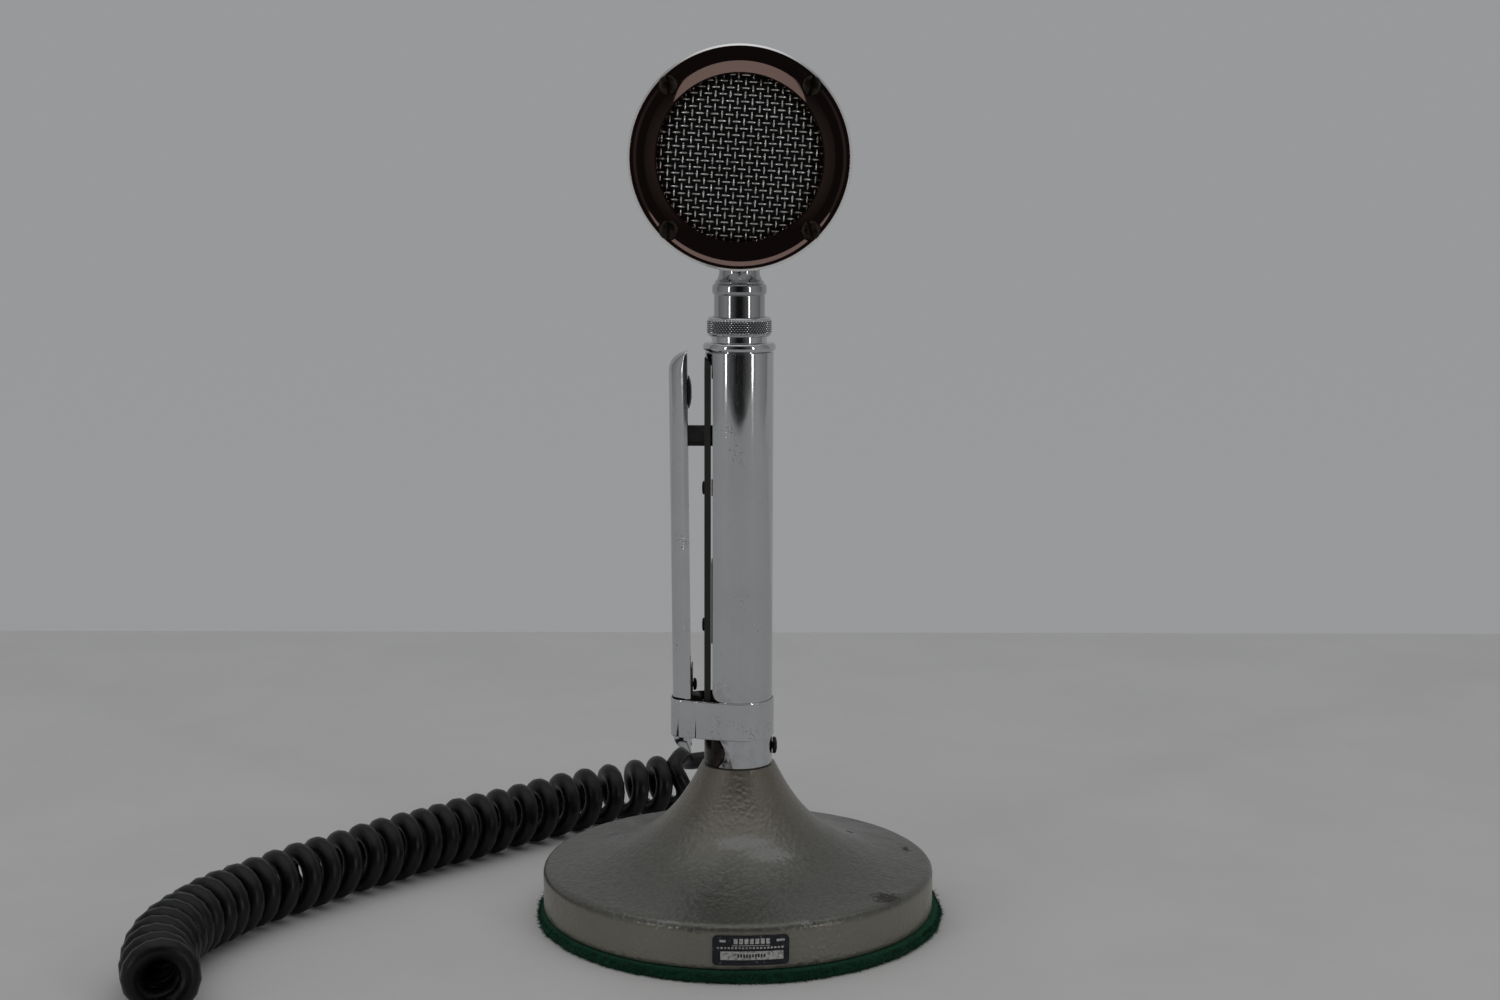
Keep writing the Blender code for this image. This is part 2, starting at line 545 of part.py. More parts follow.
def make_head(chrome, ring_chrome, wire, black, dark_screw, frame):
    facing, centre = (0, 1, 0), (0, 0, HEAD_Z)

    shell = [(31.4, -7.3), (SHELL_RADIUS, -7.3), (SHELL_RADIUS, 6.0)]
    shell += arc((SHELL_RADIUS - 9.5, 6.0), 9.5, 18, 90, 4)
    shell += [(16.0, 16.9), (0, 17.4), (0, 16.0), (16.0, 15.5)]
    shell += arc((SHELL_RADIUS - 9.5, 6.0), 8.1, 90, 0, 4)
    shell += [(SHELL_RADIUS - 1.4, -5.0), (31.4, -5.0)]
    cup = node("head_shell", lathe(shell, 44, facing, centre), chrome, frame)
    boolean(cup, rod(STUB_RADIUS + GAP, (0, 0, 225), (0, 0, 240), 24))

    ring = [(28.4, -11.2), (28.8, -11.7), (30.5, -12.15), (33.5, -12.35), (36.0, -12.1), (36.9, -11.6)]
    ring += [(37.3, -11.5), (HEAD_RADIUS, -10.8), (HEAD_RADIUS, -7.9), (37.8, -7.6), (31.4, -7.6), (31.4, -9.0),
             (28.4, -9.0)]
    face = node("face_ring", lathe(ring, 48, facing, centre), ring_chrome, frame)
    for number, (sx, sz) in enumerate(((-1, 1), (1, 1), (-1, -1), (1, -1)), 1):
        x, z = sx * FACE_SCREW_REACH, HEAD_Z + sz * FACE_SCREW_REACH
        boolean(face, rod(3.6, (x, -16, z), (x, -10.6, z), 24))
        boolean(face, rod(1.6, (x, -16, z), (x, -7, z), 14))
        boolean(cup, rod(1.6, (x, -9, z), (x, -4.0, z), 14))
        slotted_screw(f"face_screw_{number}", dark_screw, (x, -10.9, z), (0, -1, 0), 3.3, 2.1, 1.3, 5.4,
                      (0.12 * sx, 0, 1), frame)

    def dome(radius, edge, rise, thick, rim):
        """A shallow dome towards the front with a flat rim."""
        front = [(radius * i / 5, edge - rise * (1 - (i / 5) ** 2)) for i in range(6)]
        back = [(r, y + thick) for r, y in reversed(front)]
        return front + [(rim, edge), (rim, edge + thick)] + back

    node("mesh_grille", lathe(dome(28.0, -8.7, 3.4, 0.8, 31.1), 32, facing, centre), wire, frame)
    node("grille_cloth", lathe(dome(27.6, -7.4, 2.9, 0.5, 31.1), 24, facing, centre), black, frame)
    gasket = [(25.2, -6.6), (31.1, -6.6), (31.1, -4.6), (28.5, -4.6), (28.5, 1.5), (25.2, 1.5)]
    node("cartridge_gasket", lathe(gasket, 28, facing, centre), black, frame)
    element = [(0, -3.6), (6.0, -3.2), (20.0, -5.6), (24.8, -5.6), (24.8, 2.6), (22.0, 3.6), (0, 3.6)]
    node("cartridge", lathe(element, 28, facing, centre), wire, frame)


def make_coupling_ring(mat, frame):
    outline = [(9.9, 206.5), (10.6, 206.5), (11.24, 207.1), (11.24, 212.4), (10.7, 213.1), (9.15, 213.1),
               (9.15, 211.8), (9.9, 211.8)]
    node("coupling_ring", lathe(outline, 40), mat, frame)


# ---------------------------------------------------------------- cord

def make_cord(jacket, plug_black, metal):
    exit_point = EXIT_DIRECTION * (BUSH_NOSE + GAP) + Vector((0, 0, EXIT_Z))
    coil = smooth_route([(x, y, COIL_Z) for x, y in COIL_ROUTE], 16)
    start_way = (coil[1] - coil[0]).normalized()
    end_way = (coil[-1] - coil[-2]).normalized()
    drop = Vector((0, 0, -TURN_RADIUS))
    far_side = Vector((start_way.y, -start_way.x, 0.0))
    rise = TURN_RADIUS * (math.cos(LEAD_ANGLE) * far_side + math.sin(LEAD_ANGLE) * Vector((0, 0, 1)))
    lead_end = coil[0] - start_way * 0.5 + rise
    tail_start = coil[-1] + end_way * 0.5 + drop
    lead = [*smooth_route([exit_point, *LEAD_ROUTE, lead_end - start_way * 5], 9), lead_end]
    tail = smooth_route([tail_start, tail_start + end_way * 5, *TAIL_ROUTE], 12)
    tube_node("cord_lead", lead, CORD_RADIUS, jacket, 3)
    tube_node("cord_coil", coil, COIL_RADIUS, jacket, 4)
    tube_node("cord_tail", tail, CORD_RADIUS, jacket, 3)

    along = (1, 0, 0)
    boot = [(0, 0), (3.9, 0), (4.3, 1.0), (5.2, 15.0), (0, 15.0)]
    node("plug_boot", lathe(boot, 24, along, PLUG_START), plug_black)
    handle = [(0, 15.3), (6.4, 15.3), (8.0, 18.0), (8.0, 46.0), (7.2, 51.0), (6.6, 52.0), (0, 52.0)]
    node("plug_handle", lathe(handle, 28, along, PLUG_START), plug_black)
    shaft = [(0, 52.3), (5.2, 52.3), (5.2, 54.0), (3.175, 54.0), (3.175, 76.0), (2.3, 78.6), (2.9, 80.6), (2.2, 83.0),
             (0, 84.0)]
    node("plug_shaft", lathe(shaft, 24, along, PLUG_START), metal)


# ---------------------------------------------------------------- places used by more than one piece

COLUMN_SCREW_Z = 61.3
BAR_SCREW_W = 13.9
PIN_RADIUS = 1.2
BUMPER_W = 117.5
SHELL_RADIUS = 37.4
STUB_RADIUS = 3.6
FACE_SCREW_REACH = 34.0 * math.sin(math.radians(45))
PIN_PLACES = [
    (4.6 * math.cos(math.radians(90 + 120 * i)), 4.6 * math.sin(math.radians(90 + 120 * i))) for i in range(3)
]


def build():
    clear_scene()
    chrome = material("bright chrome", (0.82, 0.83, 0.85), 1.0, 0.08)
    ring_chrome = material("ring chrome", (0.62, 0.63, 0.66), 1.0, 0.05)
    steel = material("blued steel", (0.12, 0.11, 0.11), 1.0, 0.4)
    dark_screw = material("dark nickel screws", (0.10, 0.09, 0.075), 1.0, 0.4)
    brass = material("brass", (0.70, 0.52, 0.25), 1.0, 0.3)
    wire = material("nickel wire", (0.68, 0.70, 0.72), 1.0, 0.22)
    black = material("black fibre", (0.018, 0.016, 0.015), 0.0, 0.6)
    insulator = material("phenolic", (0.045, 0.03, 0.022), 0.0, 0.45)
    brown = material("brown moulded bush", (0.05, 0.022, 0.012), 0.0, 0.25)
    paint = material("grey hammer paint", (0.20, 0.195, 0.18), 0.3, 0.4)
    felt = material("green felt", (0.01, 0.09, 0.045), 0.0, 0.95)
    plate = material("navy plate", (0.02, 0.025, 0.05), 0.2, 0.4)
    jacket = material("black neoprene", (0.012, 0.013, 0.014), 0.0, 0.5)

    head = empty("head", (0, 0, HEAD_Z))
    ring = empty("coupling", (0, 0, 209.8))
    grip = empty("grip", PIVOT, Euler((0, BAR_LEAN, 0)))
    push = empty("push", (0, 0, PLUNGER_Z))
    contact = empty("contact", CONTACT_PIVOT)
    slide = empty("slide", (0, 0, BAND_LOW))

    make_base(paint, felt, plate)
    make_column(chrome, black, brass, brown, dark_screw, insulator)
    make_contact(brass, contact)
    make_plunger(black, push)
    make_pivot(black, steel)
    make_grip(chrome, black, dark_screw, steel, grip)
    make_band(chrome, slide)
    make_neck(chrome, insulator, brass, steel, head)
    make_head(chrome, ring_chrome, wire, black, dark_screw, head)
    make_coupling_ring(chrome, ring)
    make_cord(jacket, black, chrome)


build()
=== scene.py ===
"""The desk microphone's looks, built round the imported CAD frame.

Positions are millimetres in the CAD's own frame and become metres as each mesh is made.
"""

import math

import bmesh
import bpy
import numpy as np
from mathutils import Matrix, Vector, noise
from mathutils.geometry import convex_hull_2d


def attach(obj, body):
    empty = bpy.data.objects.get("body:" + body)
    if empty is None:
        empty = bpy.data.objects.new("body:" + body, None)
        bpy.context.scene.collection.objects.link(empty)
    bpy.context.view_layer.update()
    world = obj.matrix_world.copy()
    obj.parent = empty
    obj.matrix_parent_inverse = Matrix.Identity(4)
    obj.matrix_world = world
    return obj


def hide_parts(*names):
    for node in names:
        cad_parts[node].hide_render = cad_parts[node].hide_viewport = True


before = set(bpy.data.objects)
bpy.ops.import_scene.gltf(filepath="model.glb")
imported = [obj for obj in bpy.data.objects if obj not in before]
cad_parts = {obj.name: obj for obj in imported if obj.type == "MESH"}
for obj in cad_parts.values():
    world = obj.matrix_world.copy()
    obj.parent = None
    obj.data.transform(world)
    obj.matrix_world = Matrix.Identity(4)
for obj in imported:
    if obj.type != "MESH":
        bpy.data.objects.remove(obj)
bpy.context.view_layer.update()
MM = 0.001
GAP = 0.3

# Sizes shared with the CAD
HEAD_Z = 266.9
COLUMN_RADIUS = 11.95
COLUMN_BOTTOM = 55.5
COLUMN_TOP = 201.1
SLOT_HALF_WIDTH = 7.4
SLOT_TOP = 199.3
CORD_OPENING_Z = 60.8
COLUMN_SCREW_Z = 61.3
BASE_RADIUS = 69.4
BASE_BOTTOM = 3.9
RIM_ROUND = 2.6
NECK_TOP = 55.2
SPIGOT_RADIUS = 10.4
SPIGOT_TOP = 66.0
PIVOT = Vector((-18.6, 0.0, 69.5))
BAR_LEAN = math.radians(-0.64)
BAR_EDGE_U = 1.85
BAR_DEPTH = 6.35
BAR_HALF_WIDTH = 6.0
BAR_WALL = 1.0
BAR_TOP_W = 124.9
BAR_BOTTOM_W = -4.9
BAR_TOP_CAP = 6.8
BAR_BOTTOM_CAP = 5.0
BAR_SCREW_W = 13.9
BAND_LOW = 65.6
BAND_HIGH = 79.0
BAND_THICK = 0.5
BAND_LEFT_X = -23.95
FACE_SCREW_REACH = 34.0 * math.sin(math.radians(45))
SHELL_RADIUS = 37.4

# The felt pad, 0.8 mm smaller in radius than the CAD disc it covers
FELT_RADIUS = 71.6
FELT_SHIFT = (0.6, -0.5, 0.0)

# The light tent: level of the cloth at each bearing from the front, the same on both sides
TENT_LEVELS = ((10, 0.01), (40, 0.12), (60, 0.32), (110, 0.17), (180, 0.28))
LAMP_BEARING = 45.0
LAMP_STRENGTH = 6.0

# Cord
CORD_RADIUS = 3.5
COIL_Z = 12.3
TURN_RADIUS = 8.7
EXIT_DIRECTION = Vector((-math.sin(math.radians(10)), math.cos(math.radians(10)), 0.0))
EXIT_POINT = EXIT_DIRECTION * (24.0 + GAP) + Vector((0, 0, 60.6))
LEAD_ROUTE = (
    (-6.2, 37.0, 59.8), (-5.6, 53.0, 56.2), (-2.2, 69.0, 49.4), (2.2, 85.0, 41.0), (6.0, 100.0, 32.8),
    (9.0, 114.0, 26.2), (10.4, 127.0, 21.8), (7.4, 138.3, 19.4), (0.1, 143.2, 18.2),
)
LEAD_ANGLE = math.radians(38)
COIL_ROUTE = (
    (-11.0, 133.7), (-20.0, 129.3), (-35.0, 119.8), (-51.0, 110.0), (-68.0, 96.5), (-84.0, 81.0),
    (-98.0, 67.5), (-111.0, 54.0), (-124.0, 40.5), (-136.0, 27.0), (-148.0, 12.5), (-160.0, -3.5),
    (-171.0, -19.0), (-179.6, -36.0), (-185.2, -53.0), (-186.6, -70.0), (-184.2, -86.0), (-178.6, -101.0),
)
TAIL_ROUTE = (
    (-174.8, -111.5, 3.6), (-168.8, -125.0, 3.6), (-159.0, -137.0, 3.7), (-145.0, -145.5, 4.5),
    (-128.0, -149.5, 6.4), (-112.0, -150.0, 8.0), (-104.0, -150.0, 8.3),
)


# ---------------------------------------------------------------- mesh helpers

def arc(centre, radius, start_deg, end_deg, steps=6):
    rx, ry = radius if isinstance(radius, tuple) else (radius, radius)
    angles = [math.radians(start_deg + (end_deg - start_deg) * i / steps) for i in range(steps + 1)]
    return [(centre[0] + rx * math.cos(a), centre[1] + ry * math.sin(a)) for a in angles]


def softened(corners, steps=5, closed=True):
    """Rounds each (x, y, reach) corner off, starting reach before it."""
    out = []
    for i, (x, y, reach) in enumerate(corners):
        here = Vector((x, y))
        if reach <= 0 or (not closed and i in (0, len(corners) - 1)):
            out.append((x, y))
            continue
        before = Vector(corners[i - 1][:2]) - here
        after = Vector(corners[(i + 1) % len(corners)][:2]) - here
        cut = min(reach, 0.49 * before.length, 0.49 * after.length)
        a, b = here + before.normalized() * cut, here + after.normalized() * cut
        for k in range(steps + 1):
            t = k / steps
            p = (1 - t) ** 2 * a + 2 * t * (1 - t) * here + t**2 * b
            out.append((p.x, p.y))
    return out


def lathe(outline, steps, axis="Z", centre=(0, 0, 0), wobble=None):
    """Vertices and faces of a closed (radius, height) outline turned about axis."""
    place = {
        "Z": lambda r, h, c, s: (r * c, r * s, h),
        "Y": lambda r, h, c, s: (r * c, h, r * s),
        "-Y": lambda r, h, c, s: (r * c, -h, r * s),
        "X": lambda r, h, c, s: (h, r * c, r * s),
        "-X": lambda r, h, c, s: (-h, r * c, r * s),
    }[axis]
    turns = [(math.cos(2 * math.pi * k / steps), math.sin(2 * math.pi * k / steps)) for k in range(steps)]
    verts, rings = [], []
    for i, (radius, height) in enumerate(outline):
        if radius < 1e-6:
            rings.append([len(verts)])
            verts.append(place(0.0, height, 1.0, 0.0))
        else:
            rings.append(list(range(len(verts), len(verts) + steps)))
            for k, (c, s) in enumerate(turns):
                r, h = (radius, height) if wobble is None else wobble(i, k, radius, height)
                verts.append(place(r, h, c, s))
    faces = []
    for a, b in zip(rings, rings[1:] + rings[:1]):
        if len(a) == 1 and len(b) == 1:
            continue
        for k in range(steps):
            n = (k + 1) % steps
            if len(a) == 1:
                faces.append((a[0], b[k], b[n]))
            elif len(b) == 1:
                faces.append((a[k], a[n], b[0]))
            else:
                faces.append((a[k], a[n], b[n], b[k]))
    cx, cy, cz = centre
    return [(x + cx, y + cy, z + cz) for x, y, z in verts], faces


def prism(outline, low, high, normal="Z"):
    place = {"Z": lambda a, b, h: (a, b, h), "Y": lambda a, b, h: (a, h, b), "X": lambda a, b, h: (h, a, b)}[normal]
    n = len(outline)
    verts = [place(a, b, low) for a, b in outline] + [place(a, b, high) for a, b in outline]
    sides = [(i, (i + 1) % n, n + (i + 1) % n, n + i) for i in range(n)]
    return verts, [tuple(range(n)), tuple(range(n, 2 * n)), *sides]


def shell_between(outer, inner):
    """A closed shell between two grids of points of one size."""
    rows, columns = len(outer), len(outer[0])
    verts = [p for row in outer for p in row] + [p for row in inner for p in row]
    half = rows * columns

    def at(side, i, j):
        return side * half + i * columns + j

    faces = []
    for side in (0, 1):
        faces += [
            (at(side, i, j), at(side, i, j + 1), at(side, i + 1, j + 1), at(side, i + 1, j))
            for i in range(rows - 1) for j in range(columns - 1)
        ]
    for i in (0, rows - 1):
        faces += [(at(0, i, j), at(0, i, j + 1), at(1, i, j + 1), at(1, i, j)) for j in range(columns - 1)]
    for j in (0, columns - 1):
        faces += [(at(0, i, j), at(0, i + 1, j), at(1, i + 1, j), at(1, i, j)) for i in range(rows - 1)]
    return verts, faces


def tube_along(points, radius, sides=10):
    """A closed tube through points, with its frame carried along smoothly."""
    points = [Vector(p) for p in points]
    tangents = [(points[min(i + 1, len(points) - 1)] - points[max(i - 1, 0)]).normalized() for i in range(len(points))]
    normal = tangents[0].orthogonal().normalized()
    verts, faces = [], []
    for i, (point, tangent) in enumerate(zip(points, tangents)):
        normal = (normal - tangent * normal.dot(tangent)).normalized()
        side = tangent.cross(normal)
        for k in range(sides):
            angle = 2 * math.pi * k / sides
            verts.append(tuple(point + radius * (math.cos(angle) * normal + math.sin(angle) * side)))
        if i:
            for k in range(sides):
                n = (k + 1) % sides
                a, b = (i - 1) * sides, i * sides
                faces.append((a + k, a + n, b + n, b + k))
    last = (len(points) - 1) * sides
    faces.append(tuple(range(sides)))
    faces.append(tuple(range(last, last + sides)))
    return verts, faces


def joined(*meshes):
    verts, faces = [], []
    for v, f in meshes:
        start = len(verts)
        verts += v
        faces += [tuple(i + start for i in face) for face in f]
    return verts, faces


def moved(mesh, matrix):
    verts, faces = mesh
    return [tuple(matrix @ Vector(v)) for v in verts], faces


def raw_object(name, mesh):
    verts, faces = mesh
    data = bpy.data.meshes.new(name)
    data.from_pydata([(x * MM, y * MM, z * MM) for x, y, z in verts], [], faces)
    bm = bmesh.new()
    bm.from_mesh(data)
    bmesh.ops.recalc_face_normals(bm, faces=bm.faces)
    bm.to_mesh(data)
    bm.free()
    obj = bpy.data.objects.new(name, data)
    bpy.context.scene.collection.objects.link(obj)
    return obj


def carve(obj, *cutters, operation="DIFFERENCE"):
    """Cuts (or joins) the given meshes with obj and keeps the result as plain mesh."""
    for i, cutter in enumerate(cutters):
        tool = raw_object(f"{obj.name}_cutter{i}", cutter)
        modifier = obj.modifiers.new("cut", "BOOLEAN")
        modifier.operation, modifier.object, modifier.solver = operation, tool, "EXACT"
        view = bpy.context.evaluated_depsgraph_get()
        result = bpy.data.meshes.new_from_object(obj.evaluated_get(view))
        obj.modifiers.clear()
        obj.data = result
        bpy.data.objects.remove(tool, do_unlink=True)


def finish_piece(obj, mat, body, replaces=(), sharp=32, weighted=True):
    obj.data.materials.clear()
    obj.data.materials.append(mat)
    obj.data.shade_smooth()
    obj.data.set_sharp_from_angle(angle=math.radians(sharp))
    if weighted:
        even = obj.modifiers.new("even normals", "WEIGHTED_NORMAL")
        even.keep_sharp = True
    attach(obj, body)
    if replaces:
        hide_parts(*replaces)
    return obj


def piece(name, mesh, mat, body, replaces=(), cutters=(), sharp=32, weighted=True, recess=None):
    obj = raw_object(name, mesh)
    carve(obj, *cutters)
    if recess:
        obj.data.attributes.new("recess", "FLOAT", "POINT").data.foreach_set("value", recess)
    return finish_piece(obj, mat, body, replaces, sharp, weighted)


def rod(radius, start, end, steps=32):
    start, end = Vector(start), Vector(end)
    way = end - start
    mesh = lathe([(0, 0), (radius, 0), (radius, way.length), (0, way.length)], steps)
    turn = Vector((0, 0, 1)).rotation_difference(way).to_matrix().to_4x4()
    return moved(mesh, Matrix.Translation(start) @ turn)


def box_mesh(low, high):
    (x0, y0, z0), (x1, y1, z1) = low, high
    return prism([(x0, y0), (x1, y0), (x1, y1), (x0, y1)], z0, z1)


def smooth_route(points, spacing):
    """Evenly spaced points along a Catmull-Rom curve through the given points."""
    points = [Vector(p) for p in points]
    ends = [2 * points[0] - points[1], *points, 2 * points[-1] - points[-2]]
    fine = []
    for a, b, c, d in zip(ends, ends[1:], ends[2:], ends[3:]):
        for i in range(24):
            t = i / 24
            fine.append(
                0.5 * (2 * b + (c - a) * t + (2 * a - 5 * b + 4 * c - d) * t**2 + (3 * b - a - 3 * c + d) * t**3)
            )
    fine.append(points[-1])
    reach = [0.0]
    for a, b in zip(fine, fine[1:]):
        reach.append(reach[-1] + (b - a).length)
    count = max(2, round(reach[-1] / spacing))
    route, k = [], 0
    for i in range(count + 1):
        target = reach[-1] * i / count
        while k < len(reach) - 2 and reach[k + 1] < target:
            k += 1
        part = (target - reach[k]) / (reach[k + 1] - reach[k])
        route.append(fine[k].lerp(fine[k + 1], min(part, 1.0)))
    return route


# ---------------------------------------------------------------- material helpers

class Look:
    """A material, its Principled shader, and short ways to add nodes. Lengths in textures are metres."""

    def __init__(self, name, colour=None, metallic=0.0, roughness=0.5):
        self.mat = bpy.data.materials.new(name)
        self.mat.use_nodes = True
        self.tree = self.mat.node_tree
        self.shader = self.tree.nodes["Principled BSDF"]
        self.coords = self.tree.nodes.new("ShaderNodeTexCoord").outputs["Object"]
        self.set("Metallic", metallic)
        self.set("Roughness", roughness)
        if colour:
            self.set("Base Color", (*colour, 1.0))

    def set(self, socket, value):
        target = self.shader.inputs[socket]
        if isinstance(value, bpy.types.NodeSocket):
            self.tree.links.new(value, target)
        else:
            target.default_value = value

    def node(self, kind, inputs=None, **settings):
        made = self.tree.nodes.new(kind)
        for key, value in settings.items():
            setattr(made, key, value)
        for key, value in (inputs or {}).items():
            if isinstance(value, bpy.types.NodeSocket):
                self.tree.links.new(value, made.inputs[key])
            else:
                made.inputs[key].default_value = value
        return made

    def stretched(self, x, y, z):
        return self.node("ShaderNodeMapping", {"Vector": self.coords, "Scale": (x, y, z)}).outputs[0]

    def noise(self, scale, detail=3.0, roughness=0.5, coords=None, distortion=0.0):
        return self.node(
            "ShaderNodeTexNoise",
            {"Vector": coords or self.coords, "Scale": scale, "Detail": detail, "Roughness": roughness,
             "Distortion": distortion},
        ).outputs["Fac"]

    def cells(self, scale, feature="F1", randomness=1.0, coords=None, smooth=None):
        inputs = {"Vector": coords or self.coords, "Scale": scale, "Randomness": randomness}
        if smooth is not None:
            inputs["Smoothness"] = smooth
        return self.node("ShaderNodeTexVoronoi", inputs, feature=feature).outputs["Distance"]

    def span(self, value, low, high, out_low=0.0, out_high=1.0, smooth=True):
        inputs = {"Value": value, "From Min": low, "From Max": high, "To Min": out_low, "To Max": out_high}
        kind = "SMOOTHSTEP" if smooth else "LINEAR"
        return self.node("ShaderNodeMapRange", inputs, interpolation_type=kind).outputs["Result"]

    def math(self, operation, a, b=0.0, clamp=False):
        return self.node("ShaderNodeMath", {0: a, 1: b}, operation=operation, use_clamp=clamp).outputs[0]

    def mix(self, factor, a, b, kind="MIX"):
        a = (*a, 1.0) if isinstance(a, tuple) and len(a) == 3 else a
        b = (*b, 1.0) if isinstance(b, tuple) and len(b) == 3 else b
        made = self.node("ShaderNodeMix", {}, data_type="RGBA", blend_type=kind)
        for index, value in ((0, factor), (6, a), (7, b)):
            if isinstance(value, bpy.types.NodeSocket):
                self.tree.links.new(value, made.inputs[index])
            else:
                made.inputs[index].default_value = value
        return made.outputs[2]

    def axes(self):
        return self.node("ShaderNodeSeparateXYZ", {0: self.coords}).outputs

    def bump(self, height, strength, distance, after=None):
        inputs = {"Height": height, "Strength": strength, "Distance": distance}
        if after is not None:
            inputs["Normal"] = after
        return self.node("ShaderNodeBump", inputs).outputs["Normal"]


def chrome_look(name, colour=(0.60, 0.61, 0.63), smooth=0.05, smudge=0.14, pits=0.0, streaks=(1, 1, 1), tarnish=0.25,
                recess_shade=False, foot=False):
    """Old chrome plate: a mirror with handling marks, dulled patches and, where pits is over 0, rust specks."""
    look = Look(name, metallic=1.0)
    coords = look.stretched(*streaks)
    haze = look.noise(70, 5, 0.62, coords)
    fine = look.noise(900, 3, 0.6, coords)
    marks = look.math("ADD", look.math("MULTIPLY", haze, 0.8), look.math("MULTIPLY", fine, 0.2))
    rough = look.span(marks, 0.40, 0.72, smooth, smudge)
    dull = look.span(look.noise(30, 4, 0.6), 0.45, 0.75)
    shade = look.mix(look.math("MULTIPLY", dull, tarnish), colour, tuple(c * 0.72 for c in colour))
    normal = look.bump(look.noise(45, 2, 0.5), 0.03, 0.0006)
    if pits > 0:
        crowd = look.span(look.noise(110, 3, 0.6), 0.62 - 0.18 * pits, 0.80 - 0.1 * pits)
        speck = look.span(look.cells(1300), 0.16, 0.30, 1.0, 0.0)
        spots = look.math("MULTIPLY", crowd, speck, clamp=True)
        shade = look.mix(spots, shade, (0.045, 0.028, 0.018))
        rough = look.math("MAXIMUM", rough, look.math("MULTIPLY", spots, 0.75))
        normal = look.bump(look.math("SUBTRACT", 1.0, spots), 0.5, 0.00006, normal)
    if foot:
        x, y, z = look.axes()
        low = look.math("MULTIPLY", look.span(z, 0.064, 0.094, 1.0, 0.0), look.span(x, -0.010, 0.001, 1.0, 0.15))
        stain = look.math("MULTIPLY", low, look.span(look.noise(260, 4, 0.7), 0.40, 0.62))
        shade = look.mix(look.math("MULTIPLY", stain, 0.75), shade, (0.16, 0.13, 0.105))
        rough = look.math("MAXIMUM", rough, look.math("MULTIPLY", stain, 0.4))
    if recess_shade:
        # Darker where the recess attribute is deep: painted shade in the knurl's grooves.
        deep = look.node("ShaderNodeAttribute", attribute_name="recess").outputs["Fac"]
        shade = look.mix(look.span(deep, 0.3, 0.8, 0.0, 0.9), shade, (0.020, 0.017, 0.015))
    look.set("Base Color", shade)
    look.set("Roughness", rough)
    look.set("Normal", normal)
    return look.mat


def screw_look():
    """Nickelled screws gone brown."""
    look = Look("old screw", metallic=0.85)
    age = look.noise(500, 4, 0.65)
    shade = look.mix(look.span(age, 0.35, 0.65), (0.014, 0.011, 0.009), (0.040, 0.029, 0.023))
    look.set("Base Color", look.mix(look.span(look.noise(1500, 2), 0.6, 0.7, 0, 0.4), shade, (0.10, 0.075, 0.06)))
    look.set("Roughness", look.span(age, 0.3, 0.7, 0.28, 0.55))
    look.set("Normal", look.bump(look.noise(1800, 3, 0.6), 0.35, 0.00008))
    return look.mat


def wire_look():
    look = Look("nickel wire", metallic=1.0)
    spots = look.noise(700, 3, 0.6)
    deep = look.node("ShaderNodeAttribute", attribute_name="recess").outputs["Fac"]
    tone = look.mix(look.span(spots, 0.35, 0.7), (0.90, 0.90, 0.89), (0.36, 0.35, 0.335))
    # Darker where the wire lies deep in the weave, and nearly black at the rim under the lip: painted shade.
    look.set("Base Color", look.mix(look.span(deep, 0.10, 0.55, 0.0, 0.95), tone, (0.016, 0.015, 0.014)))
    look.set("Roughness", look.span(spots, 0.3, 0.7, 0.18, 0.34))
    look.set("Normal", look.bump(look.noise(2500, 2), 0.2, 0.00004))
    return look.mat


# Marks on the enamel: place and reach in mm. Dark ones are chips down to the iron, except the two at 115 degrees either
# side, which are painted shade at the back of the flare; pale ones are rubbed enamel at the front of the cone, except
# the two at 20 degrees either side on the rim, which are painted highlights.
# Marks on the base: degrees round from the front and radius, then how far each reaches along x, y and z
DARK_MARKS = (
    ((50, 66), (8, 6, 1.5)), ((22, 70), (4, 2, 1)), ((100, 62), (2, 4, 1)), ((115, 45), (2, 2, 1.5)),
    ((-115, 50), (5, 1, 1)),
)
PALE_MARKS = (
    ((5, 28), (13, 5, 3)), ((20, 32), (12, 5, 3)), ((-20, 70), (5, 3, 1)), ((20, 70), (6, 3, 1)),
)


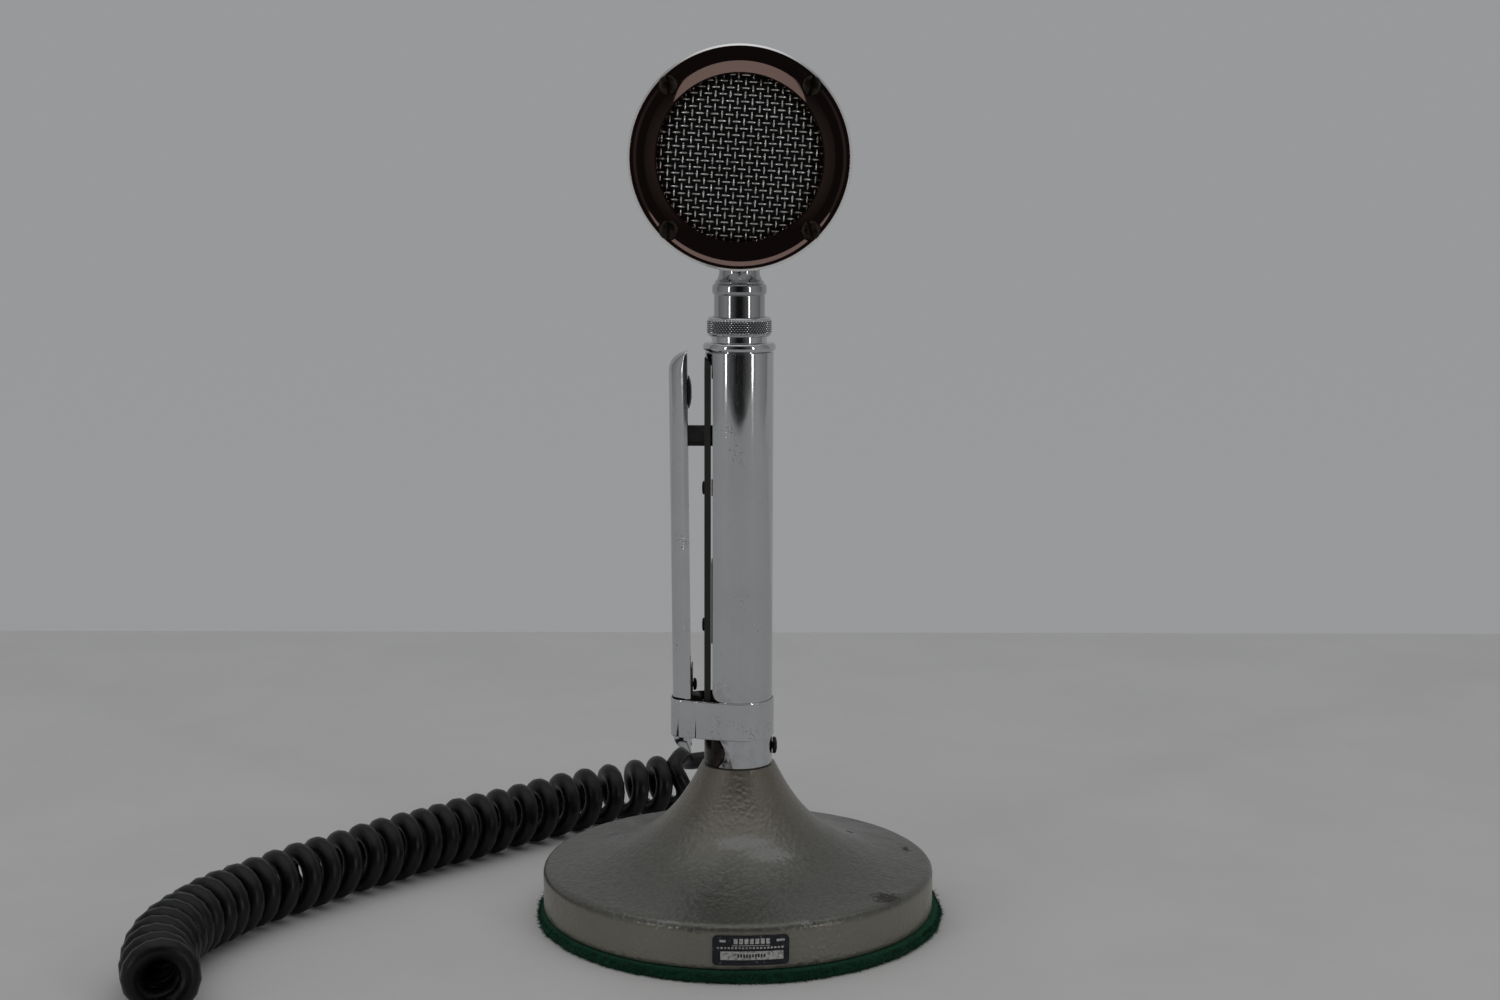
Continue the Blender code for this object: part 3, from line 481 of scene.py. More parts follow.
def paint_look():
    """Grey hammer enamel: an orange-peel skin, rubbed at the front of the cone and chipped along the rim, with painted
    light on the upright faces, the upper cone and two rim spots, and painted shade at the back of the flare.
    """
    look = Look("hammer enamel", metallic=0.55)
    x, y, z = look.axes()
    warp = look.node("ShaderNodeTexNoise", {"Vector": look.coords, "Scale": 300.0, "Detail": 2.0}).outputs["Color"]
    small = look.node("ShaderNodeVectorMath", {0: warp, "Scale": 0.0014}, operation="SCALE").outputs[0]
    bent = look.node("ShaderNodeVectorMath", {0: look.coords, 1: small}, operation="ADD").outputs[0]
    relief = look.span(look.cells(640, "SMOOTH_F1", coords=bent, smooth=0.6), 0.10, 0.75)
    broad = look.noise(110, 4, 0.6)
    grain = look.noise(1700, 3, 0.65)
    tone = look.mix(relief, (0.158, 0.157, 0.139), (0.120, 0.120, 0.107))
    tone = look.mix(look.span(broad, 0.35, 0.7, 0.0, 0.45), tone, (0.152, 0.153, 0.138))
    tone = look.mix(look.span(grain, 0.50, 0.72, 0.0, 0.30), tone, (0.215, 0.212, 0.192))
    # The upright faces are painted lighter and warmer, and the cone lighter and browner towards the tube: painted light
    # on the one enamel
    tone = look.mix(look.span(z, 0.0155, 0.0180, 0.66, 0.0), tone, (0.305, 0.284, 0.238))
    tone = look.mix(look.span(z, 0.024, 0.046, 0.0, 0.70), tone, (0.238, 0.212, 0.172))

    ragged = look.noise(900, 4, 0.7)

    def marked(marks, rough):
        mask = None
        for (bearing, radius), reach in marks:
            turn = math.radians(bearing)
            place = (radius * math.sin(turn), -radius * math.cos(turn), flare_height(radius))
            scale = tuple(1000.0 / r for r in reach)
            back = tuple(-p / r for p, r in zip(place, reach))
            away = look.node("ShaderNodeVectorMath", {0: look.coords, 1: scale, 2: back}, operation="MULTIPLY_ADD")
            far = look.node("ShaderNodeVectorMath", {0: away.outputs[0]}, operation="LENGTH").outputs["Value"]
            mask = far if mask is None else look.math("MINIMUM", mask, far)
        return look.math("ADD", mask, look.math("MULTIPLY", look.math("SUBTRACT", ragged, 0.5), rough))

    # Pale: rubbed enamel at the front of the cone, and painted highlights on the front rim.
    pale = look.span(marked(PALE_MARKS, 2.2), 0.45, 1.1, 1.0, 0.0)
    tone = look.mix(look.math("MULTIPLY", pale, 0.50), tone, (0.25, 0.255, 0.257))
    edge = look.math("MULTIPLY", look.span(z, 0.0150, 0.0172), look.span(z, 0.0178, 0.0198, 1.0, 0.0))
    patches = look.span(look.noise(75, 4, 0.68), 0.62, 0.68)
    rim = look.math("MULTIPLY", look.math("MULTIPLY", edge, patches), look.span(ragged, 0.46, 0.52), clamp=True)
    nicks = look.math(
        "MULTIPLY", look.span(look.noise(95, 2, 0.5), 0.62, 0.68), look.span(look.cells(330), 0.09, 0.14, 1.0, 0.0)
    )
    # Dark: chips down to the iron, and painted shade at the back of the flare on both sides.
    chips_and_shade = look.math("MAXIMUM", look.span(marked(DARK_MARKS, 3.0), 0.55, 0.75, 1.0, 0.0), rim)
    chips_and_shade = look.math("MAXIMUM", look.math("MULTIPLY", chips_and_shade, 0.85), look.math("MULTIPLY", nicks, 0.7))
    tone = look.mix(chips_and_shade, tone, (0.040, 0.031, 0.026))
    look.set("Base Color", tone)
    gloss = look.span(broad, 0.3, 0.7, 0.27, 0.36)
    gloss = look.math("SUBTRACT", gloss, look.math("MULTIPLY", pale, 0.12))
    look.set("Roughness", look.math("ADD", gloss, look.math("MULTIPLY", chips_and_shade, 0.3)))
    height = look.math("SUBTRACT", look.math("MULTIPLY", relief, -1.0), look.math("MULTIPLY", chips_and_shade, 0.9))
    normal = look.bump(height, 0.45, 0.00020)
    look.set("Normal", look.bump(grain, 0.25, 0.00008, normal))
    return look.mat


def felt_look(name="green felt"):
    look = Look(name, roughness=0.95)
    matted = look.noise(900, 5, 0.7)
    broad = look.noise(70, 3, 0.6)
    tone = look.mix(look.span(matted, 0.3, 0.7), (0.0035, 0.020, 0.011), (0.009, 0.052, 0.028))
    look.set("Base Color", look.mix(look.span(broad, 0.4, 0.75, 0.0, 0.5), tone, (0.006, 0.034, 0.020)))
    look.set("Sheen Weight", 0.30)
    look.set("Sheen Roughness", 0.6)
    look.set("Sheen Tint", (0.20, 0.6, 0.38, 1.0))
    look.set("Specular IOR Level", 0.1)
    look.set("Normal", look.bump(matted, 0.9, 0.0004))
    return look.mat


def rubber_look(name, shade, gloss, dust=0.12):
    look = Look(name)
    cloud = look.noise(160, 4, 0.6)
    speck = look.span(look.noise(2400, 3, 0.6), 0.62, 0.78, 0.0, dust)
    tone = look.mix(look.span(cloud, 0.35, 0.7), (shade, shade, shade * 1.05), (shade * 1.8, shade * 1.8, shade * 1.85))
    look.set("Base Color", look.mix(speck, tone, (0.10, 0.10, 0.10)))
    look.set("Roughness", look.span(cloud, 0.3, 0.7, gloss, gloss + 0.12))
    look.set("Specular IOR Level", 0.3)
    look.set("Normal", look.bump(look.noise(1500, 3, 0.6), 0.12, 0.00006))
    return look.mat


def fibre_look():
    look = Look("black fibre")
    lines = look.noise(500, 4, 0.65, look.stretched(1, 1, 0.25))
    look.set("Base Color", look.mix(lines, (0.008, 0.008, 0.008), (0.030, 0.027, 0.025)))
    look.set("Roughness", look.span(lines, 0.3, 0.7, 0.45, 0.7))
    look.set("Normal", look.bump(lines, 0.25, 0.0001))
    return look.mat


def bush_look():
    look = Look("brown bush")
    swirl = look.noise(190, 4, 0.6, distortion=0.6)
    look.set("Base Color", look.mix(look.span(swirl, 0.3, 0.7), (0.004, 0.0020, 0.0015), (0.017, 0.0070, 0.0045)))
    look.set("Roughness", look.span(swirl, 0.3, 0.8, 0.16, 0.38))
    look.set("Normal", look.bump(swirl, 0.12, 0.0004))
    return look.mat


def plain_metal_look(name, light, dark, rough):
    look = Look(name, metallic=1.0)
    age = look.noise(350, 4, 0.6)
    look.set("Base Color", look.mix(look.span(age, 0.3, 0.7), light, dark))
    look.set("Roughness", look.span(age, 0.3, 0.7, rough, rough + 0.15))
    return look.mat


def dull_look(name, light, dark, rough, scale=600):
    look = Look(name)
    age = look.noise(scale, 4, 0.6)
    look.set("Base Color", look.mix(look.span(age, 0.3, 0.7), light, dark))
    look.set("Roughness", look.span(age, 0.3, 0.7, rough, rough + 0.12))
    look.set("Normal", look.bump(age, 0.2, 0.0001))
    return look.mat


def plate_look():
    """Navy enamel on metal, worn through in places. The print is separate."""
    look = Look("navy enamel", metallic=0.25)
    wear = look.span(look.noise(650, 4, 0.7), 0.60, 0.70)
    cloud = look.noise(300, 3, 0.5)
    tone = look.mix(look.span(cloud, 0.3, 0.7), (0.006, 0.007, 0.011), (0.014, 0.016, 0.024))
    look.set("Base Color", look.mix(look.math("MULTIPLY", wear, 0.8), tone, (0.20, 0.205, 0.21)))
    look.set("Roughness", look.span(cloud, 0.3, 0.7, 0.35, 0.5))
    look.set("Normal", look.bump(wear, 0.2, 0.00005))
    return look.mat


def silver_look():
    look = Look("silver print", metallic=0.55)
    wear = look.noise(900, 4, 0.7)
    look.set("Base Color", look.mix(look.span(wear, 0.45, 0.65), (0.62, 0.615, 0.60), (0.24, 0.24, 0.24)))
    look.set("Roughness", look.span(wear, 0.3, 0.7, 0.4, 0.6))
    return look.mat


# ---------------------------------------------------------------- camera, light and room

def make_camera():
    pitch, yaw, roll = math.radians(7.93), math.radians(0.307), math.radians(0.179)
    forward = Vector((math.sin(yaw) * math.cos(pitch), math.cos(yaw) * math.cos(pitch), -math.sin(pitch)))
    right = Vector((math.cos(yaw), -math.sin(yaw), 0.0))
    up = right.cross(forward)
    right, up = right * math.cos(roll) + up * math.sin(roll), up * math.cos(roll) - right * math.sin(roll)
    data = bpy.data.cameras.new("camera")
    data.lens = 50.0
    data.sensor_width = 36.0
    data.sensor_fit = "HORIZONTAL"
    data.clip_start = 0.01
    camera = bpy.data.objects.new("camera", data)
    camera.matrix_world = Matrix.Translation((0.0, -0.7216, 0.2497)) @ Matrix(
        (right, up, -forward)).transposed().to_4x4()
    bpy.context.scene.collection.objects.link(camera)
    bpy.context.scene.camera = camera


def surround(look, azimuth, reach):
    """The tent at eye level: grey cloth, a dark opening at the front, and a strip lamp each side."""
    ramp = look.node("ShaderNodeValToRGB", {"Fac": look.span(azimuth, -math.pi, math.pi, smooth=False)})
    stops = [(-degrees, level) for degrees, level in reversed(TENT_LEVELS)] + list(TENT_LEVELS)
    elements = ramp.color_ramp.elements
    for spare in range(len(stops) - 2):
        elements.new(0.01 * (spare + 1))
    for element, (degrees, level) in zip(elements, stops):
        element.position = (degrees + 180) / 360
        element.color = (level, level, level, 1.0)
    colour = ramp.outputs[0]
    for side in (-LAMP_BEARING, LAMP_BEARING):
        lamp = look.math("MULTIPLY", look.span(azimuth, math.radians(side - 3.0), math.radians(side - 1.0)),
                         look.span(azimuth, math.radians(side + 1.0), math.radians(side + 3.0), 1.0, 0.0))
        colour = look.mix(look.math("MULTIPLY", lamp, reach), colour, (LAMP_STRENGTH,) * 3)
    return colour


def make_world():
    """A light tent: grey sides, a bright top, and a dark opening at the front with a strip lamp at each side of it."""
    world = bpy.data.worlds.new("tent")
    bpy.context.scene.world = world
    world.use_nodes = True
    tree = world.node_tree
    look = Look.__new__(Look)
    look.tree = tree
    background = tree.nodes["Background"]
    look.coords = tree.nodes.new("ShaderNodeTexCoord").outputs["Generated"]
    x, y, z = look.axes()
    azimuth = look.math("ARCTAN2", x, look.math("MULTIPLY", y, -1.0))
    height = look.math("ARCSINE", z)
    level = look.span(look.math("ABSOLUTE", height), math.radians(20), math.radians(32), 1.0, 0.0)
    colour = surround(look, azimuth, level)
    top = look.span(height, math.radians(38), math.radians(62))
    colour = look.mix(top, colour, (0.72, 0.725, 0.73))
    seen = tree.nodes.new("ShaderNodeLightPath").outputs["Is Camera Ray"]
    colour = look.mix(seen, colour, (0.325, 0.33, 0.34))
    tree.links.new(colour, background.inputs["Color"])
    background.inputs["Strength"].default_value = 1.0


def make_room():
    """A plain pale floor and a plain wall behind it, joined by a cove."""
    floor = Look("paper", roughness=0.9)
    grain = floor.noise(12, 4, 0.6)
    floor.set("Base Color", floor.mix(floor.span(grain, 0.3, 0.7), (0.70, 0.70, 0.69), (0.73, 0.73, 0.72)))
    floor.set("Specular IOR Level", 0.2)
    floor.set("Normal", floor.bump(floor.noise(9, 3, 0.5), 0.15, 0.01))

    wall = Look("tent cloth", roughness=1.0)
    wall.set("Base Color", (0.04, 0.04, 0.04, 1.0))
    wall.set("Emission Color", (0.30, 0.305, 0.31, 1.0))
    wall.set("Emission Strength", 1.0)
    wall.set("Specular IOR Level", 0.0)
    # Seen from behind, the cloth is not there.
    through = wall.node("ShaderNodeBsdfTransparent").outputs[0]
    behind = wall.node("ShaderNodeNewGeometry").outputs["Backfacing"]
    one_sided = wall.node("ShaderNodeMixShader", {0: behind, 1: wall.shader.outputs[0], 2: through}).outputs[0]
    wall.tree.links.new(one_sided, wall.tree.nodes["Material Output"].inputs["Surface"])

    sheet = raw_object("paper_sheet", (
        [(-1700, -1700, 0), (1700, -1700, 0), (1700, 500, 0), (-1700, 500, 0)], [(0, 1, 2, 3)],
    ))
    sweep = [(200.0, -4.0)] + [
        (460 + 190 * math.sin(math.radians(a)), -4 + 190 * (1 - math.cos(math.radians(a)))) for a in range(0, 91, 6)
    ] + [(650.0, 1600.0)]
    rows = [[(x, y, z) for x in (-1900, 1900)] for y, z in reversed(sweep)]
    back = raw_object("tent_back", (
        [p for row in rows for p in row],
        [(2 * i, 2 * i + 1, 2 * i + 3, 2 * i + 2) for i in range(len(rows) - 1)],
    ))
    if back.data.polygons[0].normal.y > 0:
        back.data.flip_normals()
    for obj, look in ((sheet, floor), (back, wall)):
        obj.data.materials.append(look.mat)
        obj.data.shade_smooth()
        obj.data.set_sharp_from_angle(angle=math.radians(30))


# ---------------------------------------------------------------- cord

def turn_rate(s):
    """Radians of turn for each millimetre along the coil: slow at the lead, closed up at the far end."""
    spacing = (
        (0, 13.0), (20, 13.0), (28, 10.7), (33, 10.7), (40, 12.0), (55, 12.1), (66, 11.6), (85, 10.5), (95, 10.3),
        (122, 9.6), (131, 8.5), (140, 8.7), (150, 9.4), (165, 9.6), (178, 10.2), (188, 10.4), (197, 9.6),
        (214, 9.7), (225, 9.0), (238, 7.9), (260, 7.7), (400, 7.6),
    )
    for (s0, p0), (s1, p1) in zip(spacing, spacing[1:]):
        if s <= s1:
            pitch = p0 + (p1 - p0) * (s - s0) / (s1 - s0)
            break
    start = min(max((s - 6.0) / 9.0, 0.0), 1.0)
    return 2 * math.pi / pitch * start * start * (3 - 2 * start)


def coil_points():
    """The wire's centre line through the coil: it winds over the top towards the camera's side as it runs left."""
    centre = smooth_route([(x, y, COIL_Z) for x, y in COIL_ROUTE], 0.25)
    angles, angle = [], LEAD_ANGLE
    for i in range(len(centre)):
        angles.append(angle)
        angle += turn_rate(0.25 * i) * 0.25
    # The last turn ends underneath, where the tail leaves.
    bottom = math.pi * 1.5
    target = bottom + 2 * math.pi * round((angles[-1] - bottom) / (2 * math.pi))
    stretch = (target - LEAD_ANGLE) / (angles[-1] - LEAD_ANGLE)
    angles = [LEAD_ANGLE + (a - LEAD_ANGLE) * stretch for a in angles]
    points, last = [], None
    for i, angle in enumerate(angles):
        if last is not None and angle - last < math.radians(15) and i not in (len(angles) - 1,) and (
                i < 80 and i % 8 or i >= 80):
            continue
        last = angle
        way = (centre[min(i + 1, len(centre) - 1)] - centre[max(i - 1, 0)]).normalized()
        far = Vector((way.y, -way.x, 0.0))
        loose = 0.25 * math.sin(0.37 * angle) + 0.18 * math.sin(0.11 * angle + 1.0)
        across = TURN_RADIUS + 0.15 * math.sin(0.23 * angle)
        # The first turn, pulled by the lead, stands proud and leans over to the left.
        loose += 3.8 * math.exp(-(((angle - 2.15) / 0.5) ** 2)) + 3.9 * math.exp(-(((angle - 2.6) / 0.8) ** 2))
        lift = Vector((0, 0, 2.5 * math.exp(-(((angle - 1.6) / 0.8) ** 2))))
        points.append(
            centre[i] + across * (math.cos(angle) * far + math.sin(angle) * Vector((0, 0, 1))) + way * loose + lift)
    return points, centre, (angles[-1] - LEAD_ANGLE) / (2 * math.pi)


def make_cord(rubber):
    points, centre, turns = coil_points()
    start_way = (centre[1] - centre[0]).normalized()
    end_way = (centre[-1] - centre[-2]).normalized()
    lead = smooth_route([EXIT_POINT, *LEAD_ROUTE, points[0] - start_way * 5], 3.0)
    tail = smooth_route([points[-1] + end_way * 5, *TAIL_ROUTE], 3.0)
    whole = lead + points + tail
    curve = bpy.data.curves.new("cord", "CURVE")
    curve.dimensions = "3D"
    curve.bevel_depth = CORD_RADIUS * MM
    curve.bevel_resolution = 6
    curve.use_fill_caps = True
    spline = curve.splines.new("POLY")
    spline.points.add(len(whole) - 1)
    for spot, place in zip(spline.points, whole):
        spot.co = (*(place * MM), 1.0)
    spline.use_smooth = True
    curve.materials.append(rubber)
    cord = bpy.data.objects.new("cord", curve)
    bpy.context.scene.collection.objects.link(cord)
    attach(cord, "stand")
    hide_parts("cord_lead", "cord_coil", "cord_tail")


# ---------------------------------------------------------------- base

def flare_height(radius):
    return 17.0 + 38.2 * math.exp(-(radius - 13.0) / 18.3)


def make_base(paint, felt, plate, silver):
    shoulder = BASE_RADIUS - RIM_ROUND
    rim_top = flare_height(shoulder)
    side_top = rim_top - RIM_ROUND
    outline = [(61.5, BASE_BOTTOM), (BASE_RADIUS - 0.6, BASE_BOTTOM), (BASE_RADIUS - 0.15, BASE_BOTTOM + 0.2),
               (BASE_RADIUS, BASE_BOTTOM + 0.6)]
    outline += [(BASE_RADIUS, BASE_BOTTOM + 0.6 + (side_top - BASE_BOTTOM - 0.6) * i / 9) for i in range(1, 9)]
    outline += arc((shoulder, side_top), RIM_ROUND, 0, 84, 10)
    radii = [shoulder - 0.9 * i for i in range(1, 58)]
    outline += [(radius, flare_height(radius)) for radius in radii if radius > 13.0]
    outline += [(13.0, NECK_TOP - 0.05), (12.6, NECK_TOP), (SPIGOT_RADIUS, NECK_TOP), (SPIGOT_RADIUS, SPIGOT_TOP),
                (7.2, SPIGOT_TOP), (7.2, 8.0), (16.0, 8.0), (16.0, 27.0), (23.0, 27.0), (38.0, 18.5), (61.5, 13.0)]
    steps = 480

    def wobble(i, k, radius, height):
        """Casting unevenness and the enamel's coarser dimples, on the outside only."""
        if radius < 12.8 or height < BASE_BOTTOM + 0.5 or (radius < 61 and height < 16.9):
            return radius, height
        angle = 2 * math.pi * k / steps
        place = Vector((radius * math.cos(angle), radius * math.sin(angle), height))
        depth = 0.09 * noise.noise(place * 0.42) + 0.07 * noise.noise(place * 0.16)
        if radius > BASE_RADIUS - 0.3:
            return radius + depth, height
        return radius, height + depth

    base = raw_object("base", lathe(outline, steps, wobble=wobble))
    carve(base, box_mesh((-14, -14, NECK_TOP + 0.02), (3.8, 14, SPIGOT_TOP + 4)))
    finish_piece(base, paint, "stand", ("base_casting",), sharp=40, weighted=False)
    make_felt(felt)
    make_nameplate(plate, silver)


def make_felt(felt):
    """A pad with a ragged, fuzzy edge, cut a little out of round."""
    steps = 900

    def wobble(i, k, radius, height):
        if radius < 60:
            return radius, height
        angle = 2 * math.pi * k / steps
        place = Vector((9 * math.cos(angle), 9 * math.sin(angle), 0.5 * height))
        ragged = 0.50 * noise.noise(place * 1.1) + 0.45 * noise.noise(place * 4.0) + 0.25 * noise.noise(place * 13.0)
        lift = 0.16 * noise.noise(place * 3.1 + Vector((4, 4, 4)))
        rise = height + lift if 0.4 < height < 3.4 else height
        return radius + ragged, min(max(rise, 0.0), 3.6)

    outline = [(0, 0), (68, 0), (FELT_RADIUS - 0.7, 0.05), (FELT_RADIUS - 0.1, 0.7), (FELT_RADIUS + 0.1, 1.5),
               (FELT_RADIUS, 2.4), (FELT_RADIUS - 0.4, 3.1), (FELT_RADIUS - 1.3, 3.55), (68, 3.6), (0, 3.6)]
    pad = lathe(outline, steps, centre=FELT_SHIFT, wobble=wobble)
    piece("felt", pad, felt, "stand", ("felt_pad",), sharp=60, weighted=False)

    rng = np.random.default_rng(7)
    verts, faces = [], []
    for _ in range(11000):
        angle = rng.uniform(0, 2 * math.pi)
        z = rng.uniform(0.15, 3.5)
        place = Vector((9 * math.cos(angle), 9 * math.sin(angle), 0.5 * z))
        radius = FELT_RADIUS - 0.25 + 0.50 * noise.noise(place * 1.1) + 0.45 * noise.noise(place * 4.0)
        radius -= 0.9 * max(0.0, z - 2.9) + 0.5 * max(0.0, 0.5 - z)
        root = Vector((radius * math.cos(angle), radius * math.sin(angle), z)) + Vector(FELT_SHIFT)
        out = Vector((math.cos(angle), math.sin(angle), 0))
        side = Vector((-out.y, out.x, 0))
        aim = out * rng.uniform(0.25, 1.0) + side * rng.normal(0, 0.75) + Vector((0, 0, rng.normal(0.05, 0.45)))
        long = rng.gamma(2.2, 0.36) + 0.25
        tip = root + aim.normalized() * min(long, 2.4)
        tip.z = min(max(tip.z, 0.05), 4.4)
        middle = (root + tip) / 2 + side * rng.normal(0, 0.14) + Vector((0, 0, rng.normal(0, 0.12)))
        middle.z = max(middle.z, 0.06)
        wide = 0.10
        start = len(verts)
        for spot, width in ((root, wide), (middle, wide * 0.8)):
            verts += [tuple(spot + side * width), tuple(spot - side * width * 0.6 + Vector((0, 0, width))),
                      tuple(spot - side * width * 0.6 - Vector((0, 0, width)))]
        verts.append(tuple(tip))
        a, b = start, start + 3
        faces.append((a, a + 1, a + 2))
        for k in range(3):
            n = (k + 1) % 3
            faces.append((a + k, a + n, b + n, b + k))
            faces.append((b + k, b + n, start + 6))
    piece("felt_fuzz", (verts, faces), felt, "stand", (), sharp=180, weighted=False)


def wrapped(low_s, high_s, low, high, inside, outside, corner=0.0, columns=14):
    """A thin plate bent round the base's rim. s is arc length from the front, positive towards +X."""
    centre = math.radians(3.5)
    ease = [corner * (1 - math.cos(math.radians(90 * i / 6))) for i in range(7)] if corner else [0.0]
    middle = [low_s + corner + (high_s - low_s - 2 * corner) * i / columns for i in range(1, columns)]
    stations = [low_s + e for e in ease] + middle + [high_s - e for e in reversed(ease)]

    def rows(radius):
        grid = []
        for s in stations:
            near = min(s - low_s, high_s - s)
            inset = max(0.0, corner - near)
            drop = corner - math.sqrt(max(corner**2 - inset**2, 0.004)) if corner else 0.0
            angle = centre + s / BASE_RADIUS
            x, y = radius * math.sin(angle), -radius * math.cos(angle)
            grid.append([(x, y, low + drop), (x, y, high - drop)])
        return grid

    return shell_between(rows(outside), rows(inside))


def make_nameplate(plate, silver):
    """Navy plate with a silver border line, a silver bar, and rows of plain marks where a plate carries print."""
    inside, outside = BASE_RADIUS + 0.15, BASE_RADIUS + 0.72
    plain = wrapped(-12.55, 12.55, 5.7, 15.6, inside, outside, 1.4, 30)
    piece("nameplate_plate", plain, plate, "stand", ("nameplate",))
    skin = (outside - 0.02, outside + 0.05)
    marks = [wrapped(-9.9, 10.6, 7.6, 10.5, *skin)]
    marks += [wrapped(a, b, 13.6, 14.4, *skin, columns=2) for a, b in ((-10.2, -8.2), (8.3, 11.0))]
    marks += [wrapped(-5.6 + 1.75 * i, -4.35 + 1.75 * i, 13.0, 14.8, *skin, columns=2) for i in range(7)]
    marks += [wrapped(-11.0 + 1.16 * i, -10.3 + 1.16 * i, 11.35, 11.95, *skin, columns=2) for i in range(19)]
    marks += [wrapped(-6.2, 6.2, 12.35, 12.55, *skin)]
    piece("nameplate_print", joined(*marks), silver, "stand", ())
    above = (outside + 0.06, outside + 0.10)
    dark = [wrapped(-4.4 + 0.95 * i, -3.85 + 0.95 * i, 8.5, 9.6, *above, columns=2) for i in range(10)]
    piece("nameplate_marks", joined(*dark), plate, "stand", ())


# ---------------------------------------------------------------- screws

def screw(name, mat, seat, axis, head_radius, head_height, slot_axis, body, replaces, dome=0.5, flat=0.0):
    """A slotted head with a worn edge, its shank short inside the hole."""
    base = head_height * (1 - dome)
    outline = [(0, -1.2), (head_radius * 0.45, -1.2), (head_radius * 0.45, 0), (head_radius - 0.1, 0),
               (head_radius, 0.1), (head_radius, base)]
    outline += arc((flat, base), (head_radius - flat, head_height - base), 10, 88, 9)
    outline += [(0, head_height)]
    axis, slot_axis = Vector(axis).normalized(), Vector(slot_axis).normalized()
    slot_axis = (slot_axis - axis * slot_axis.dot(axis)).normalized()
    basis = Matrix((slot_axis, axis.cross(slot_axis), axis)).transposed().to_4x4()
    basis.translation = Vector(seat)
    wide, deep = head_radius * 0.15, head_height * 0.55
    cutter = box_mesh((-head_radius * 1.3, -wide, head_height - deep), (head_radius * 1.3, wide, head_height + 1))
    obj = raw_object(name, lathe(outline, 56))
    carve(obj, cutter)
    obj.data.transform(Matrix.Scale(1.0, 4))
    for vert in obj.data.vertices:
        vert.co = (basis @ (vert.co / MM)) * MM
    return finish_piece(obj, mat, body, replaces)


# ---------------------------------------------------------------- column

def make_column(tube_chrome, chrome, band_chrome, screws):
    inside = COLUMN_RADIUS - 1.2
    outline = softened([(inside, COLUMN_BOTTOM, 0.1), (COLUMN_RADIUS, COLUMN_BOTTOM, 0.25),
                        (COLUMN_RADIUS, COLUMN_TOP, 0.25), (inside, COLUMN_TOP, 0.1)], 4)
    wide = SLOT_HALF_WIDTH + 0.35
    slot = arc((wide - 5, SLOT_TOP - 5), 5, 0, 90, 8) + arc((-wide + 5, SLOT_TOP - 5), 5, 90, 180, 8)
    slot += [(-wide, 64), (wide, 64)]
    tube = raw_object("column", lathe(outline, 200))
    carve(
        tube,
        prism(slot, -16, -6, "X"),
        rod(11.0, (-16, 0, CORD_OPENING_Z), (-2, 0, CORD_OPENING_Z), 72),
        rod(4.9, (0, 0, 60.6), EXIT_DIRECTION * 16 + Vector((0, 0, 60.6)), 40),
        rod(1.8, (6, 0, COLUMN_SCREW_Z), (14, 0, COLUMN_SCREW_Z), 24),
    )
    finish_piece(tube, tube_chrome, "stand", ("column_tube",), sharp=25)
    screw("column_screw_head", screws, (12.15, 0, COLUMN_SCREW_Z), (1, 0, 0), 2.95, 1.65, (0, 1, 0.1), "stand",
          ("column_screw",))

    collar = [(7.9, 192.0, 0), (SPIGOT_RADIUS, 192.0, 0), (SPIGOT_RADIUS, 201.4, 0), (12.2, 201.4, 0.35),
              (12.68, 202.1, 0.5), (12.68, 203.2, 0.6), (12.3, 204.0, 0.4), (11.9, 204.3, 0.2), (9.75, 204.3, 0.2),
              (9.6, 204.6, 0.2), (9.6, 209.5, 0.3), (7.9, 209.5, 0.2)]
    top = raw_object("collar", lathe(softened(collar, 4), 160))
    carve(top, box_mesh((-14, -14, 190), (-9.55, 14, 201.25)))
    finish_piece(top, chrome, "stand", ("top_collar",), sharp=40)

    # The lock band, drawn round the tube and the bar's back
    radius, half_width = 5.7, 7.25
    column = COLUMN_RADIUS + 0.15 + BAND_THICK

    def loop(inset):
        points = arc((0, 0), column - inset, 0, 360, 160)[:-1]
        for side in (-1, 1):
            points += arc((BAND_LEFT_X + radius, side * (half_width - radius)), radius - inset, 0, 360, 96)[:-1]
        return [Vector(points[i]) for i in convex_hull_2d([Vector(p) for p in points])]

    hull = loop(0.0)
    around = [(b - a).length for a, b in zip(hull, hull[1:] + hull[:1])]
    outer, k, start = [], 0, 0.0
    for i in range(260):
        target = sum(around) * i / 260
        while start + around[k] < target:
            start += around[k]
            k += 1
        spot = hull[k].lerp(hull[(k + 1) % len(hull)], (target - start) / around[k])
        crease = 0.28 * math.exp(-((spot.x + 15.5) / 0.45) ** 2)
        outer.append(Vector((spot.x, spot.y - math.copysign(crease, spot.y))))
    levels = [(0.30, BAND_LOW), (0.08, BAND_LOW + 0.12), (0.0, BAND_LOW + 0.4), (0.0, BAND_HIGH - 0.4),
              (0.08, BAND_HIGH - 0.12), (0.30, BAND_HIGH)]
    count = len(outer)

    def inset_loop(depth):
        out = []
        for i, here in enumerate(outer):
            along = (outer[(i + 1) % count] - outer[i - 1]).normalized()
            inward = Vector((-along.y, along.x))
            if inward.dot(-here) < 0:
                inward = -inward
            out.append(here + inward * depth)
        return out

    rings = [(inset_loop(d), z) for d, z in levels] + [(inset_loop(BAND_THICK), z) for z in (BAND_HIGH, BAND_LOW)]
    verts = [(p.x, p.y, z) for ring, z in rings for p in ring]
    faces = []
    for r in range(len(rings)):
        a, b = r * count, ((r + 1) % len(rings)) * count
        faces += [(a + i, a + (i + 1) % count, b + (i + 1) % count, b + i) for i in range(count)]
    piece("band", (verts, faces), band_chrome, "slide", ("lock_band",), sharp=25)


# ---------------------------------------------------------------- grip bar

